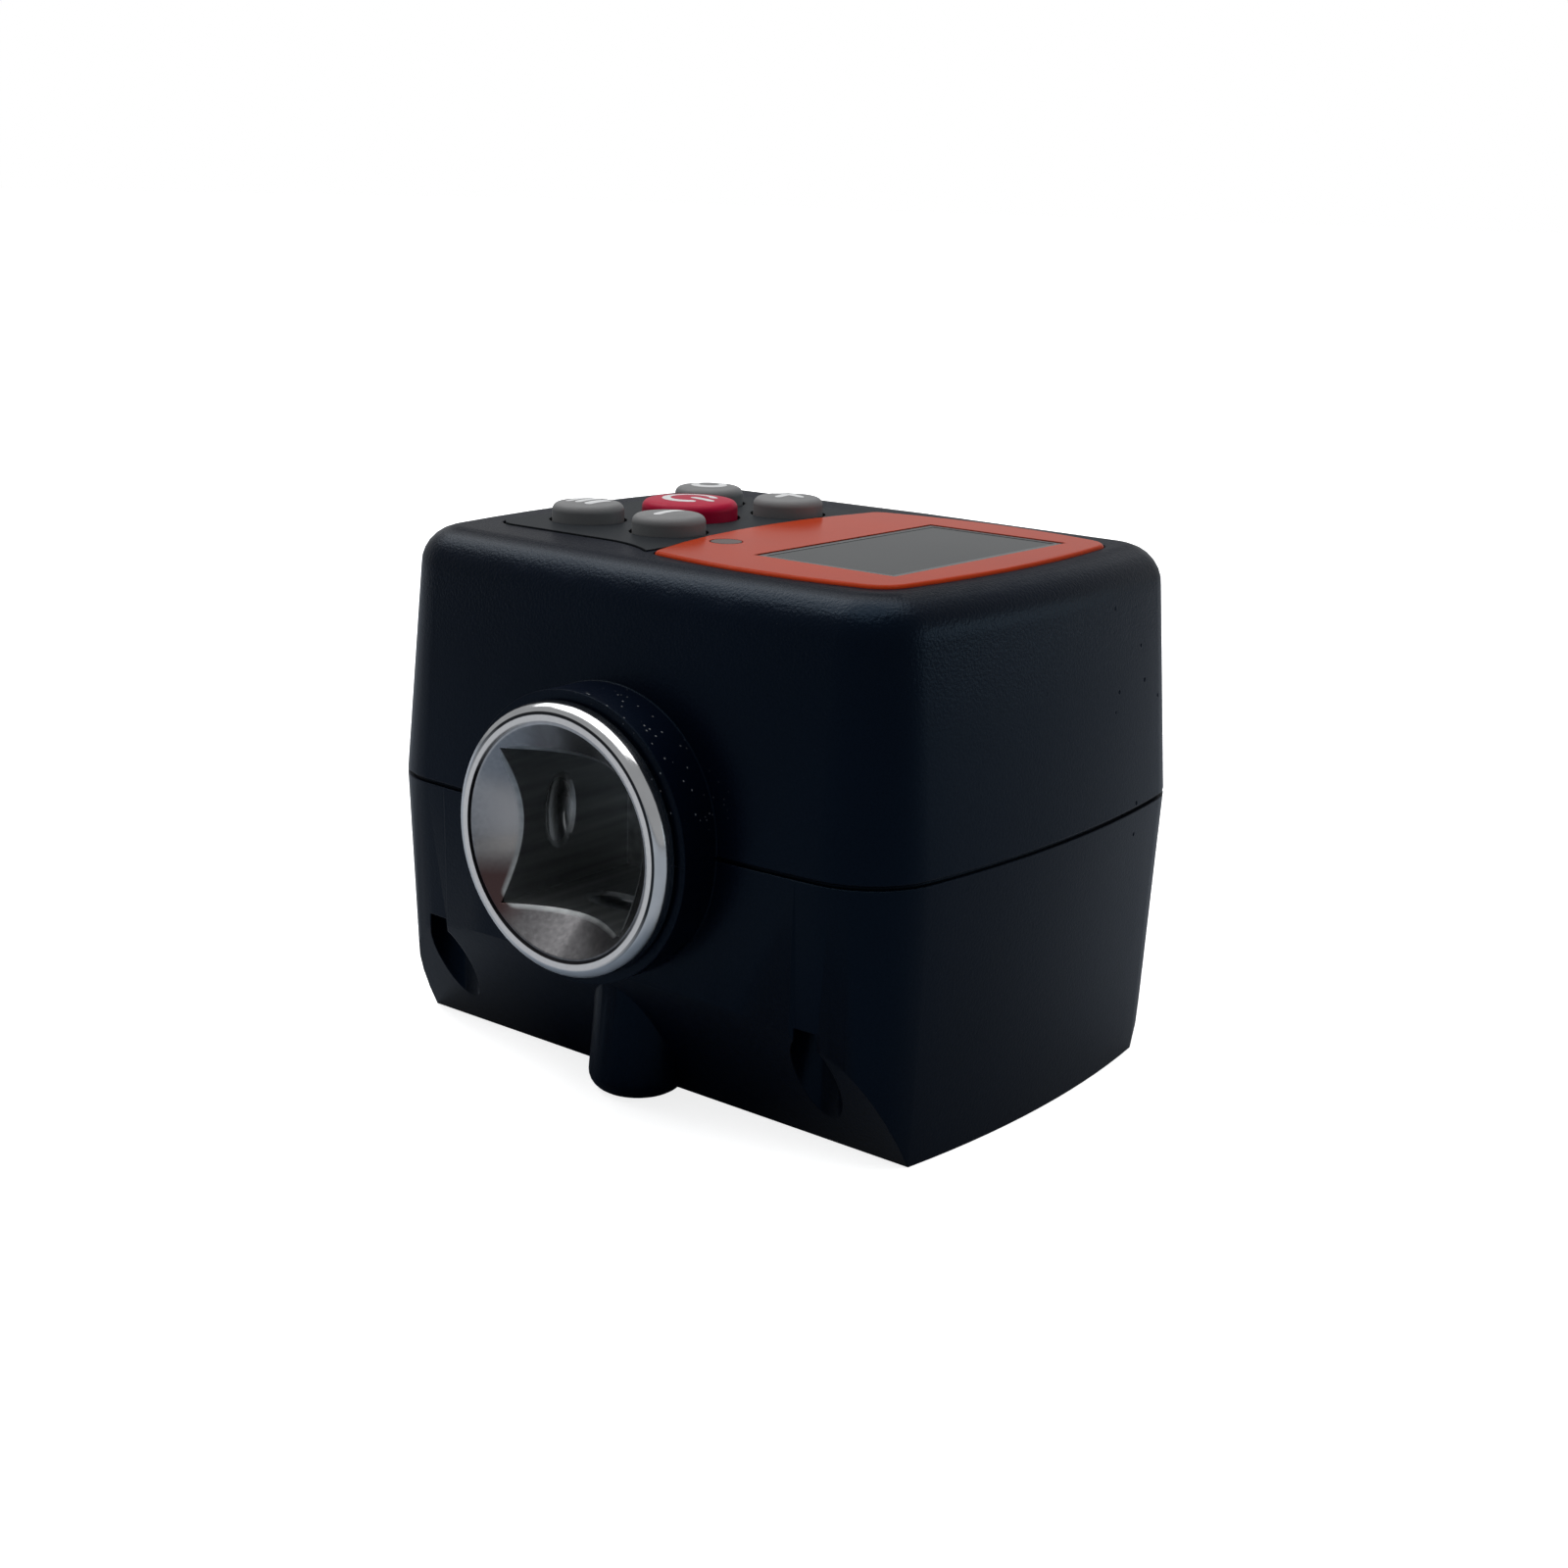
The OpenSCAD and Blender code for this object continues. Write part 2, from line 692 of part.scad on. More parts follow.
module keypad_plan(d) {
    difference() {
        polygon(keypad_outline(d));
        polygon(bezel_outline(d > 0 ? 0 : -seat));
    }
}

module keypad_seat_cut() {
    translate([0, 0, panel_floor])
        linear_extrude(height = upper_h)
            keypad_plan(key_gap);
}

module key_wells() {
    for (k = [0 : len(key_spots) - 1])
        translate([key_spots[k][0], key_spots[k][1], ceiling - over])
            cylinder(r = key_radii[k] + flange_w + apart, h = wall + over);
}

module window_cut() {
    translate([window_x + lens_ledge, lens_ledge - window_len / 2, ceiling - over])
        cube([window_w - 2 * lens_ledge, window_len - 2 * lens_ledge, 2 * wall + over]);
}

module indicator_cut() {
    translate([indicator_x, -indicator_y, ceiling - over])
        cylinder(r = indicator_r + seat, h = 2 * wall + over);
}

module lower_case() {
    color([0.09, 0.1, 0.11])
        difference() {
            union() {
                at_case() {
                    lower_solid(0, 0);
                    front_foot();
                }
                collar_solids();
            }
            at_case()
                difference() {
                    lower_solid(wall, over);
                    at_screws()
                        translate([0, 0, -lower_h])
                            cylinder(r = well_r + wall / 2, h = lower_h);
                    battery_bay();
                    translate([-half_w, -door_front - wall, -lower_h])
                        cube([case_w, half_d + door_front, door_t + door_gap + door_floor_t]);
                    translate([0, -mid_y, 0]) {
                        seal_bosses();
                        grip_rib();
                    }
                }
            translate([-case_w, -over, 0])
                cube([2 * case_w, 2 * case_d, 2 * upper_h]);
            shaft_bore();
            at_case() {
                parting_groove(-1);
                at_screws() {
                    translate([0, 0, -lower_h - over])
                        cylinder(r = well_r, h = lower_h + over - well_top);
                    translate([0, 0, -lower_h])
                        cylinder(r = screw_head_r + seat, h = lower_h - screw_seat);
                    translate([0, 0, -screw_seat - over])
                        cylinder(r = screw_r + seat, h = screw_seat + 2 * over);
                }
                bay_hollow();
                door_way();
            }
        }
}

module display_bezel() {
    color([0.86, 0.27, 0.12])
        at_case()
            difference() {
                skin(concat(
                    [[for (p = bezel_outline(0)) [p[0], p[1], bezel_floor]]],
                    [for (i = [0 : round_steps]) let (a = 90 * i / round_steps)
                        [for (p = bezel_outline(bezel_round * (1 - cos(a))))
                            [p[0], p[1], bezel_top - bezel_round + bezel_round * sin(a)]]]));
                translate([window_x, -window_len / 2, bezel_floor - over])
                    cube([window_w, window_len, 2 * wall + over]);
                translate([indicator_x, -indicator_y, bezel_floor - over])
                    cylinder(r = indicator_r + seat, h = 2 * wall + over);
            }
}

module display_lens() {
    color([0.36, 0.38, 0.39])
        at_case()
            translate([window_x + seat, seat - window_len / 2, bezel_floor])
                cube([window_w - 2 * seat, window_len - 2 * seat, bezel_top - bezel_floor - seat]);
}

module keypad_panel() {
    color([0.2, 0.21, 0.22])
        at_case()
            translate([0, 0, panel_floor])
                linear_extrude(height = keypad_t)
                    difference() {
                        keypad_plan(0);
                        for (k = [0 : len(key_spots) - 1])
                            translate(key_spots[k])
                                circle(r = key_radii[k] + key_gap);
                    }
}

// A key: crowned cap, flange that the panel keeps in, and stem that rests on the switch's plunger
module key(k) {
    r = key_radii[k];
    shoulder_r = r - key_round;
    peak = panel_top + key_h;
    shoulder = peak - key_crown - key_round;
    at_case()
        translate([key_spots[k][0], key_spots[k][1], 0])
            rotate_extrude()
                polygon(concat(
                    [[0, plunger_top],
                        [stem_r, plunger_top],
                        [stem_r, flange_floor],
                        [r + flange_w, flange_floor],
                        [r + flange_w, flange_top],
                        [r, flange_top]],
                    [for (i = [0 : round_steps])
                        [shoulder_r, shoulder] + key_round * turn(90 * i / round_steps)],
                    [for (i = [1 : round_steps]) let (s = 1 - i / round_steps)
                        [shoulder_r * s, peak - key_crown * s * s]]));
}

module key_mode() {
    color([0.45, 0.45, 0.46])
        key(0);
}

module key_minus() {
    color([0.45, 0.45, 0.46])
        key(1);
}

module key_power() {
    color([0.7, 0.02, 0.12])
        key(2);
}

module key_clear() {
    color([0.45, 0.45, 0.46])
        key(3);
}

module key_plus() {
    color([0.45, 0.45, 0.46])
        key(4);
}

module plunger(k) {
    color([0.1, 0.1, 0.1])
        at_case()
            translate([key_spots[k][0], key_spots[k][1], plunger_floor])
                cylinder(r = plunger_r, h = plunger_top - plunger_floor);
}

module plunger_mode() {
    plunger(0);
}

module plunger_minus() {
    plunger(1);
}

module plunger_power() {
    plunger(2);
}

module plunger_clear() {
    plunger(3);
}

module plunger_plus() {
    plunger(4);
}

module switch_bodies() {
    color([0.7, 0.7, 0.68])
        at_case()
            for (spot = key_spots)
                translate([spot[0], spot[1], board_top])
                    difference() {
                        translate([-switch_w / 2, -switch_w / 2, 0])
                            cube([switch_w, switch_w, switch_h]);
                        translate([0, 0, plunger_floor - key_travel - board_top - seat])
                            cylinder(r = plunger_r + running, h = switch_h);
                    }
}

module main_board() {
    color([0.05, 0.35, 0.2])
        at_case()
            translate([0, 0, board_floor])
                difference() {
                    linear_extrude(height = board_t)
                        polygon(outline(wall + upper_draft + apart));
                    at_posts()
                        translate([0, 0, -over])
                            cylinder(r = board_screw_r + seat, h = board_t + 2 * over);
                }
}

module lcd_glass() {
    color([0.5, 0.55, 0.5])
        at_case()
            translate([window_x - glass_margin, -window_len / 2 - glass_margin, glass_floor])
                cube([window_w + 2 * glass_margin, window_len + 2 * glass_margin, glass_t]);
}

module lcd_frame() {
    inner = [window_w + 2 * (glass_margin + seat), window_len + 2 * (glass_margin + seat)];
    color([0.9, 0.9, 0.88])
        at_case()
            translate([window_mid, 0, board_top])
                difference() {
                    translate([-inner[0] / 2 - frame_wall, -inner[1] / 2 - frame_wall, 0])
                        cube([inner[0] + 2 * frame_wall, inner[1] + 2 * frame_wall, frame_h]);
                    translate([-inner[0] / 2, -inner[1] / 2, -over])
                        cube([inner[0], inner[1], frame_h + 2 * over]);
                }
}

module lcd_backlight() {
    color([0.95, 0.95, 0.9])
        at_case()
            translate([window_x, -window_len / 2, board_top])
                cube([window_w, window_len, glass_floor - board_top]);
}

module lcd_strips() {
    color([0.85, 0.5, 0.55])
        at_case()
            for (s = [-1, 1])
                translate([window_x, s * (window_len + glass_margin + seat) / 2 - strip_w / 2, board_top])
                    cube([window_w, strip_w, glass_floor - board_top]);
}

module indicator_lens() {
    color([0.3, 0.12, 0.1])
        at_case()
            translate([indicator_x, -indicator_y, ceiling - wall / 2])
                cylinder(r = indicator_r, h = bezel_top - ceiling + wall / 2);
}

module indicator_led() {
    color([0.95, 0.95, 0.8])
        at_case()
            translate([indicator_x - led_size[0] / 2, -indicator_y - led_size[1] / 2, board_top])
                cube(led_size);
}

module sounder() {
    color([0.12, 0.12, 0.12])
        at_case()
            translate([sounder_inset - half_w, 0, board_floor - sounder_h])
                difference() {
                    cylinder(r = sounder_r, h = sounder_h);
                    translate([0, 0, -over])
                        cylinder(r = sounder_r / 5, h = sounder_h / 2 + over);
                }
}

module chips() {
    color([0.13, 0.13, 0.14])
        at_case()
            for (k = [0 : len(chip_sizes) - 1])
                translate([chip_spot_shares[k][0] * half_w - chip_sizes[k][0] / 2,
                        chip_spot_shares[k][1] * half_d - chip_sizes[k][1] / 2,
                        board_floor - chip_sizes[k][2]])
                    cube(chip_sizes[k]);
}

// Half profile of the turned shaft, as radius and station
function shaft_profile() = concat(
    [[0, 0], [rim_r - rim_round, 0]],
    [for (i = [1 : round_steps]) [rim_r - rim_round, rim_round] + rim_round * turn(90 * i / round_steps - 90)],
    [[rim_r, rim_len],
        [journal_r, rim_len],
        [journal_r, gauge_front]],
    [for (i = [0 : round_steps])
        [gauge_r + gauge_fillet, gauge_front + gauge_fillet] - gauge_fillet * turn(90 - 90 * i / round_steps)],
    [for (i = [0 : round_steps])
        [gauge_r + gauge_fillet, gauge_rear - gauge_fillet]
            + gauge_fillet * turn(180 - 90 * i / round_steps)],
    [[journal_r, gauge_rear],
        [journal_r, rear_rim],
        [rim_r, rear_rim],
        [rim_r, neck_front - rim_round],
        [rim_r - rim_round, neck_front],
        [neck_r, neck_front],
        [neck_r, male_front],
        [0, male_front]]);

module square_bar(w, from, to) {
    translate([-w / 2, from, -w / 2])
        cube([w, to - from, w]);
}

module torque_shaft() {
    female = drive + socket_play;
    color([0.78, 0.79, 0.8])
        difference() {
            union() {
                rotate([-90, 0, 0])
                    rotate_extrude($fn = 96)
                        polygon(shaft_profile());
                intersection() {
                    square_bar(drive, male_front - over, male_end);
                    rotate([-90, 0, 0])
                        rotate_extrude($fn = 96)
                            polygon([[0, neck_front],
                                [male_corner_r, neck_front],
                                [male_corner_r, male_end - male_chamfer],
                                [male_corner_r - male_chamfer, male_end],
                                [0, male_end]]);
                }
            }
            square_bar(female, -over, socket_depth);
            rotate([-90, 0, 0])
                translate([0, 0, mouth_step - over])
                    cylinder(r1 = countersink_r + over, r2 = 0, h = countersink_r + over);
            bar(mouth_r, -over, mouth_step);
            translate([0, recess_y, 0])
                rotate([-90, 0, 0])
                    rotate_extrude()
                        translate([female / 2 + recess_depth - recess_r, 0])
                            circle(r = recess_r);
            for (s = [-1, 1]) {
                translate([-rim_r, gauge_front + gauge_fillet, s > 0 ? gauge_flat : -rim_r - gauge_flat])
                    cube([2 * rim_r, gauge_len - 2 * gauge_fillet, rim_r]);
                translate([-rim_r, grip_front, s > 0 ? grip_flat : -rim_r - grip_flat])
                    cube([2 * rim_r, grip_len, rim_r]);
            }
            translate([0, ball_y, ball_seat])
                cylinder(r = ball_r + running, h = drive);
        }
}

module detent_ball() {
    color([0.82, 0.83, 0.84])
        translate([0, ball_y, ball_z])
            sphere(r = ball_r);
}

module detent_spring() {
    coil_r = spring_r - spring_wire;
    color([0.6, 0.6, 0.62])
        translate([0, ball_y, ball_seat + spring_wire])
            spring(coil_r * 0.8, coil_r * 0.8, spring_top - ball_seat, spring_turns, spring_wire);
}

module strain_gauges() {
    color([0.8, 0.5, 0.2])
        at_case()
            for (s = [-1, 1])
                translate([-gauge_size[0] / 2, -gauge_size[1] / 2,
                        s > 0 ? gauge_flat : -gauge_flat - gauge_size[2]])
                    cube(gauge_size);
}

// Flexible circuit that rises from the upper gauge to the underside of the board
module gauge_flex() {
    rise = board_floor - gauge_flat - gauge_size[2];
    steps = 8;
    function bend(i) = [gauge_size[0] / 2 - flex_t + flex_slack * sin(360 * i / steps) * sin(180 * i / steps),
        gauge_flat + gauge_size[2] + rise * i / steps];
    color([0.75, 0.45, 0.15])
        at_case()
            translate([0, flex_w / 2, 0])
                rotate([90, 0, 0])
                    linear_extrude(height = flex_w)
                        polygon(concat(
                            [for (i = [0 : steps]) bend(i)],
                            [for (i = [steps : -1 : 0]) bend(i) - [flex_t, 0]]));
}

module seal(y) {
    translate([0, y, 0])
        rotate([90, 0, 0])
            rotate_extrude()
                translate([journal_r + seal_wire, 0])
                    circle(r = seal_wire - running, $fn = 24);
}

module front_seal() {
    color([0.08, 0.08, 0.08])
        seal(mid_y - seal_y);
}

module rear_seal() {
    color([0.08, 0.08, 0.08])
        seal(mid_y + seal_y);
}

// A pan head screw that points up, with its head's seat at the origin
module screw(head_r, head_h, r, shank) {
    slot = head_h / 3;
    difference() {
        union() {
            translate([0, 0, -head_h])
                cylinder(r = head_r, h = head_h);
            cylinder(r = r, h = shank);
        }
        for (a = [0, 90])
            rotate([0, 0, a])
                translate([-slot / 2, -head_r * 0.7, -head_h - over])
                    cube([slot, head_r * 1.4, over + head_h / 2]);
    }
}

module case_screws() {
    color([0.65, 0.66, 0.68])
        at_case()
            at_screws()
                translate([0, 0, -screw_seat])
                    screw(screw_head_r, screw_head_h, screw_r - running, screw_len);
}

module board_screws() {
    color([0.65, 0.66, 0.68])
        at_case()
            at_posts()
                translate([0, 0, board_floor])
                    screw(board_head_r, board_head_h, board_screw_r - running, board_screw_len - seat);
}

module cell(s) {
    translate([-s * cell_len / 2 + s * (bay_x - contact_t - cell_len / 2), s * cell_y, cell_z])
        rotate([0, s * 90, 0]) {
            cylinder(r = cell_r, h = cell_len - cell_nub);
            cylinder(r = cell_r / 3, h = cell_len);
        }
}

module battery_cells() {
    color([0.25, 0.3, 0.35])
        at_case()
            for (s = [-1, 1])
                cell(s);
}

module contact_plate(x, y, w) {
    translate([x, y - w / 2, cell_z - contact_h / 2])
        cube([contact_t, w, contact_h]);
}

module bridge_contact() {
    color([0.75, 0.72, 0.6])
        at_case()
            contact_plate(-bay_x, 0, 2 * cell_y + contact_w);
}

module terminal_contacts() {
    color([0.75, 0.72, 0.6])
        at_case()
            for (s = [-1, 1])
                contact_plate(bay_x - contact_t, s * cell_y, contact_w);
}

module contact_springs() {
    spring_len = 2 * bay_x - 2 * contact_t - cell_len;
    color([0.75, 0.75, 0.7])
        at_case()
            for (s = [-1, 1])
                translate([s * (contact_t + contact_wire - bay_x), s * cell_y, cell_z])
                    rotate([0, s * 90, 0])
                        spring(cell_r * 0.6, cell_r * 0.35, spring_len, 3, contact_wire);
}

// Leads from the terminals, over the battery bay and past the shaft to the board
module battery_wires() {
    start = bay_top + bay_wall + seat;
    rise = board_floor - seat - start;
    steps = 14;
    for (s = [-1, 1])
        color(s > 0 ? [0.7, 0.05, 0.05] : [0.08, 0.08, 0.08])
            at_case()
                skin(tube_rings([for (i = [0 : steps]) let (t = i / steps)
                    [wire_x - wire_slack * (1 - cos(360 * t)),
                        s * (cell_y + wire_slack * sin(360 * t) * sin(180 * t)),
                        start + rise * t]],
                    wire_r, 8, [0, 1, 0]));
}

module battery_door() {
    color([0.09, 0.1, 0.11])
        at_case() {
            difference() {
                union() {
                    translate([-door_w / 2, -door_front, -lower_h])
                        cube([door_w, door_front + half_d, door_t]);
                    translate([-door_w / 2 - door_tongue, -door_front, tongue_z])
                        cube([door_w + 2 * door_tongue, door_front + half_d, tongue_t - door_gap / 2]);
                }
                relief_cut(0);
                for (k = [0 : grip_count - 1])
                    translate([-door_w / 8, relief_foot - wall - grip_pitch * (k + 1), -lower_h - over])
                        cube([door_w / 4, grip_pitch / 2, over + door_t / 4]);
            }
        }
}

upper_case();
lower_case();
display_bezel();
display_lens();
keypad_panel();
key_mode();
key_minus();
key_power();
key_clear();
key_plus();
plunger_mode();
plunger_minus();
plunger_power();
plunger_clear();
plunger_plus();
switch_bodies();
main_board();
lcd_glass();
lcd_frame();
lcd_backlight();
lcd_strips();
indicator_lens();
indicator_led();
sounder();
chips();
torque_shaft();
detent_ball();
detent_spring();
strain_gauges();
gauge_flex();
front_seal();
rear_seal();
case_screws();
board_screws();
battery_cells();
bridge_contact();
terminal_contacts();
contact_springs();
battery_wires();
battery_door();
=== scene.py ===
"""Looks and studio for the digital torque meter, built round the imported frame."""

import json
import math

import bmesh
import bpy
import numpy as np
from mathutils import Matrix, Vector

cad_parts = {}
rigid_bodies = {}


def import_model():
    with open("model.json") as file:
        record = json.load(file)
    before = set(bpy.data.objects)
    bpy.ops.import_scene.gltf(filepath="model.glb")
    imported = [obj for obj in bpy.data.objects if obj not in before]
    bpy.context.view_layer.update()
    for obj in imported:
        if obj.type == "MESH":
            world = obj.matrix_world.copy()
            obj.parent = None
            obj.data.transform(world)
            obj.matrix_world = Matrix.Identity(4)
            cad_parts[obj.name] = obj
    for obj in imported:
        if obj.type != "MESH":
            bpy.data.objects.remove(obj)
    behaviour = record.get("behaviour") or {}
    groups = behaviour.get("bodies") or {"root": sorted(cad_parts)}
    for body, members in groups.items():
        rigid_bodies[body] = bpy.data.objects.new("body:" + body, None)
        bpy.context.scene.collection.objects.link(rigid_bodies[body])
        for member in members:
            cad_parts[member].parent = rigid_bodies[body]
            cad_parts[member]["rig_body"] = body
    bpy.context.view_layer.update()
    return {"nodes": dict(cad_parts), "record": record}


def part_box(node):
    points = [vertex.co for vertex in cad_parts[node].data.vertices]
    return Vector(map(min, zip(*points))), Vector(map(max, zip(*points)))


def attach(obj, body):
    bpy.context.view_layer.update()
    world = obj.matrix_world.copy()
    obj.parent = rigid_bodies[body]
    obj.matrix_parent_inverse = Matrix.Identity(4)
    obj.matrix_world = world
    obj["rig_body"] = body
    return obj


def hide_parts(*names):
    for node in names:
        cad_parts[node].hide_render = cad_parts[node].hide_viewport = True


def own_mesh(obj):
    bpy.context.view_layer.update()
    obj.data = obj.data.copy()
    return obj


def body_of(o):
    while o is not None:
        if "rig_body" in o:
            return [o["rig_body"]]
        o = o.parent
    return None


bl_info = {
    "name": "Torque Meter Studio",
    "version": (1, 0, 0),
    "blender": (4, 5, 0),
    "location": "View3D > Sidebar > Torque Meter",
    "description": "Finishes the torque meter's solids, adds its fine pieces and lights it",
    "category": "Object",
}

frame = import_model()

MM = 0.001
CASE_MIDDLE = 28.9 * MM  # Y of the middle of the case
MARK_SINK = 0.03 * MM  # how deep a printed piece reaches into what carries it
CAP_DEPTH = 20 * MARK_SINK  # how far down from its top a key's upper surface is followed
SAME_POINT = 1e-6  # points of a solid that are closer than this, in metres, are one
FLAT_ANGLE = 0.6  # facets that meet at less than this many degrees are joined

# A box's sides in X and Y that lie all round the part, in millimetres
ROUND_LOW, ROUND_HIGH = (-40, -10), (40, 70)

# The chips' middles in X, and in Y from the case's middle, with width, depth and height, in millimetres
CHIPS = ((15.08, -5.9, 7, 7, 1), (15.37, 4.956, 5, 4, 1.2), (-6.09, 12.036, 3, 5, 1.1))

# The camera fitted to the photograph: degrees, then millimetres from the case's middle
AZIMUTH, ELEVATION, ROLL = 38.2917, 14.9972, 1.5593
DISTANCE, SHIFT_RIGHT, SHIFT_UP = 196.766, -0.1, -0.7494
FOCAL_LENGTH, SENSOR_WIDTH = 51.32, 36

# What the area lights point at, in metres
LIGHT_AIM = (0, 0.029, 0)

# The floor, in metres from the origin: half its side, its gap under the case, the share of its glow near the
# part and the distances over which the glow rises from it to full, a painted shadow round the part, and the
# distances over which it comes back in reflections, painted shade beside the part
FLOOR_HALF, FLOOR_GAP = 6.0, 0.03 * MM
GLOW_SHARE, GLOW_RISE = 0.82, (0.06, 0.35)
SHADE_END = (0.028, 0.036)


# Nodes


def feed(tree, socket, value):
    """Give a node's input another node's output, a colour or a number."""
    if isinstance(value, bpy.types.NodeSocket):
        tree.links.new(value, socket)
    elif socket.type == "RGBA":
        socket.default_value = (*value, 1.0)
    else:
        socket.default_value = value


def added(tree, kind, inputs=None, **settings):
    """A new node with its settings, and its inputs by name or number."""
    node = tree.nodes.new("ShaderNode" + kind)
    for name, value in settings.items():
        setattr(node, name, value)
    for name, value in (inputs or {}).items():
        feed(tree, node.inputs[name], value)
    return node


def place_of(tree):
    """Object coordinates."""
    return added(tree, "TexCoord").outputs["Object"]


def times(tree, a, b):
    """The product of two masks or numbers."""
    return added(tree, "Math", {0: a, 1: b}, operation="MULTIPLY").outputs[0]


def mapped(tree, value, none, full):
    """0 to 1 as a value runs from none to full, and no further."""
    return added(tree, "MapRange", {"Value": value, "From Min": none, "From Max": full}).outputs["Result"]


def mixed(tree, mask, low, high):
    """From low to high as the mask runs from 0 to 1. Each is a socket, a colour or a number."""
    colour = any(isinstance(v, tuple) or getattr(v, "type", "") == "RGBA" for v in (low, high))
    a, b, out = (6, 7, 2) if colour else (2, 3, 0)
    kind = "RGBA" if colour else "FLOAT"
    return added(tree, "Mix", {0: mask, a: low, b: high}, data_type=kind).outputs[out]


def varied(tree, noise, low, high):
    """From low to high over the middle of a noise's range."""
    return mixed(tree, mapped(tree, noise, 0.3, 0.7), low, high)


def box_mask(tree, lows, highs, soft):
    """1 inside a box in object space, falling to 0 over the soft distance outside it, in millimetres."""
    axes = added(tree, "SeparateXYZ", {0: place_of(tree)}).outputs
    mask = None
    for axis, low, high in zip(axes, lows, highs):
        for edge, outside in ((low, low - soft), (high, high + soft)):
            side = mapped(tree, axis, outside * MM, edge * MM)
            mask = times(tree, mask, side) if mask else side
    return mask


def ring_mask(tree, radius, soft):
    """1 within the radius of the shaft's axis, falling to 0 over the soft distance outside it, in
    millimetres."""
    flat = added(tree, "VectorMath", {0: place_of(tree), 1: (1, 0, 1)}, operation="MULTIPLY")
    away = added(tree, "VectorMath", {0: flat.outputs[0]}, operation="LENGTH")
    return mapped(tree, away.outputs["Value"], (radius + soft) * MM, radius * MM)


def band_mask(tree, inner, outer, soft):
    """1 between two radii round the shaft's axis, falling to 0 on both sides, in millimetres."""
    return times(tree, ring_mask(tree, outer, soft), ring_mask(tree, inner, -soft))


def slant_mask(tree, direction, none, full):
    """0 to 1 between two distances along a direction, in millimetres."""
    along = added(tree, "VectorMath", {0: place_of(tree), 1: direction}, operation="DOT_PRODUCT")
    return mapped(tree, along.outputs["Value"], none * MM, full * MM)


def background_ray(tree, gloss, near=None):
    """How much of the pale background a ray shows: all from the camera and through glass, and the gloss
    share by reflection, less where a near mask falls to 0."""
    path = added(tree, "LightPath").outputs
    share = times(tree, path["Is Glossy Ray"], gloss)
    if near:
        share = times(tree, share, near)
    for name in ("Is Camera Ray", "Is Transmission Ray"):
        share = added(tree, "Math", {0: share, 1: path[name]}, operation="MAXIMUM").outputs[0]
    return share


def grain_group():
    """Grain: fine and broad noise, and small and larger dots, in object space, as four masks."""
    name = "Grain"
    if name in bpy.data.node_groups:
        return bpy.data.node_groups[name]
    g = bpy.data.node_groups.new(name, "ShaderNodeTree")
    for label, value in (("Fine Scale", 4000.0), ("Broad Scale", 60.0)):
        socket = g.interface.new_socket(label, in_out="INPUT", socket_type="NodeSocketFloat")
        socket.default_value = value
    for label in ("Fine", "Broad", "Specks", "Pits"):
        g.interface.new_socket(label, in_out="OUTPUT", socket_type="NodeSocketFloat")
    given = g.nodes.new("NodeGroupInput").outputs
    result = g.nodes.new("NodeGroupOutput").inputs
    place = place_of(g)
    for label, detail in (("Fine", 3.0), ("Broad", 5.0)):
        noise = added(g, "TexNoise", {"Vector": place, "Scale": given[label + " Scale"], "Detail": detail})
        feed(g, result[label], noise.outputs["Fac"])
    for label, scale, none, full in (("Specks", 1500.0, 0.16, 0.08), ("Pits", 480.0, 0.11, 0.07)):
        cells = added(g, "TexVoronoi", {"Vector": place, "Scale": scale})
        feed(g, result[label], mapped(g, cells.outputs["Distance"], none, full))
    return g


# Materials


def material(name):
    """A new node material with an empty tree and its output."""
    mat = bpy.data.materials.new(name)
    mat.use_nodes = True
    tree = mat.node_tree
    tree.nodes.clear()
    return mat, tree, added(tree, "OutputMaterial")


def solid(name, color, shade, rough, rough_to, bump=0.0, grain=4000.0, broad=60.0, metal=0.0, coat=0.0,
          edge=0.15, spec=0.5, tint=(1.0, 1.0, 1.0), relief=0.02):
    """A finish whose colour, roughness and relief vary with two scales of grain. Edge is the radius on
    sharp edges and relief the height of the grain, in millimetres."""
    mat, tree, out = material(name)
    scales = {"Fine Scale": grain, "Broad Scale": broad}
    noise = added(tree, "Group", scales, node_tree=grain_group()).outputs
    bsdf = added(tree, "BsdfPrincipled", {
        "Base Color": varied(tree, noise["Broad"], color, shade),
        "Roughness": varied(tree, noise["Broad"], rough, rough_to),
        "Metallic": metal,
        "Coat Weight": coat,
        "Coat Roughness": 0.05,
        "Specular IOR Level": spec,
        "Specular Tint": tint,
    })
    normal = None
    if edge:
        normal = added(tree, "Bevel", {"Radius": edge * MM}, samples=4).outputs["Normal"]
    if bump:
        height = {"Strength": bump, "Distance": relief * MM, "Height": noise["Fine"]}
        if normal:
            height["Normal"] = normal
        normal = added(tree, "Bump", height).outputs["Normal"]
    if normal:
        feed(tree, bsdf.inputs["Normal"], normal)
    feed(tree, out.inputs["Surface"], bsdf.outputs["BSDF"])
    return mat


def opened(mat):
    """A finish's tree, its shader and its grain's outputs."""
    found = {node.type: node for node in mat.node_tree.nodes}
    return mat.node_tree, found["BSDF_PRINCIPLED"], found["GROUP"].outputs


def laid_over(tree, bsdf, socket, mask, value):
    """Mix a value, colour or socket over what feeds a shader's socket, where the mask is 1."""
    old = bsdf.inputs[socket].links[0].from_socket
    feed(tree, bsdf.inputs[socket], mixed(tree, mask, old, value))


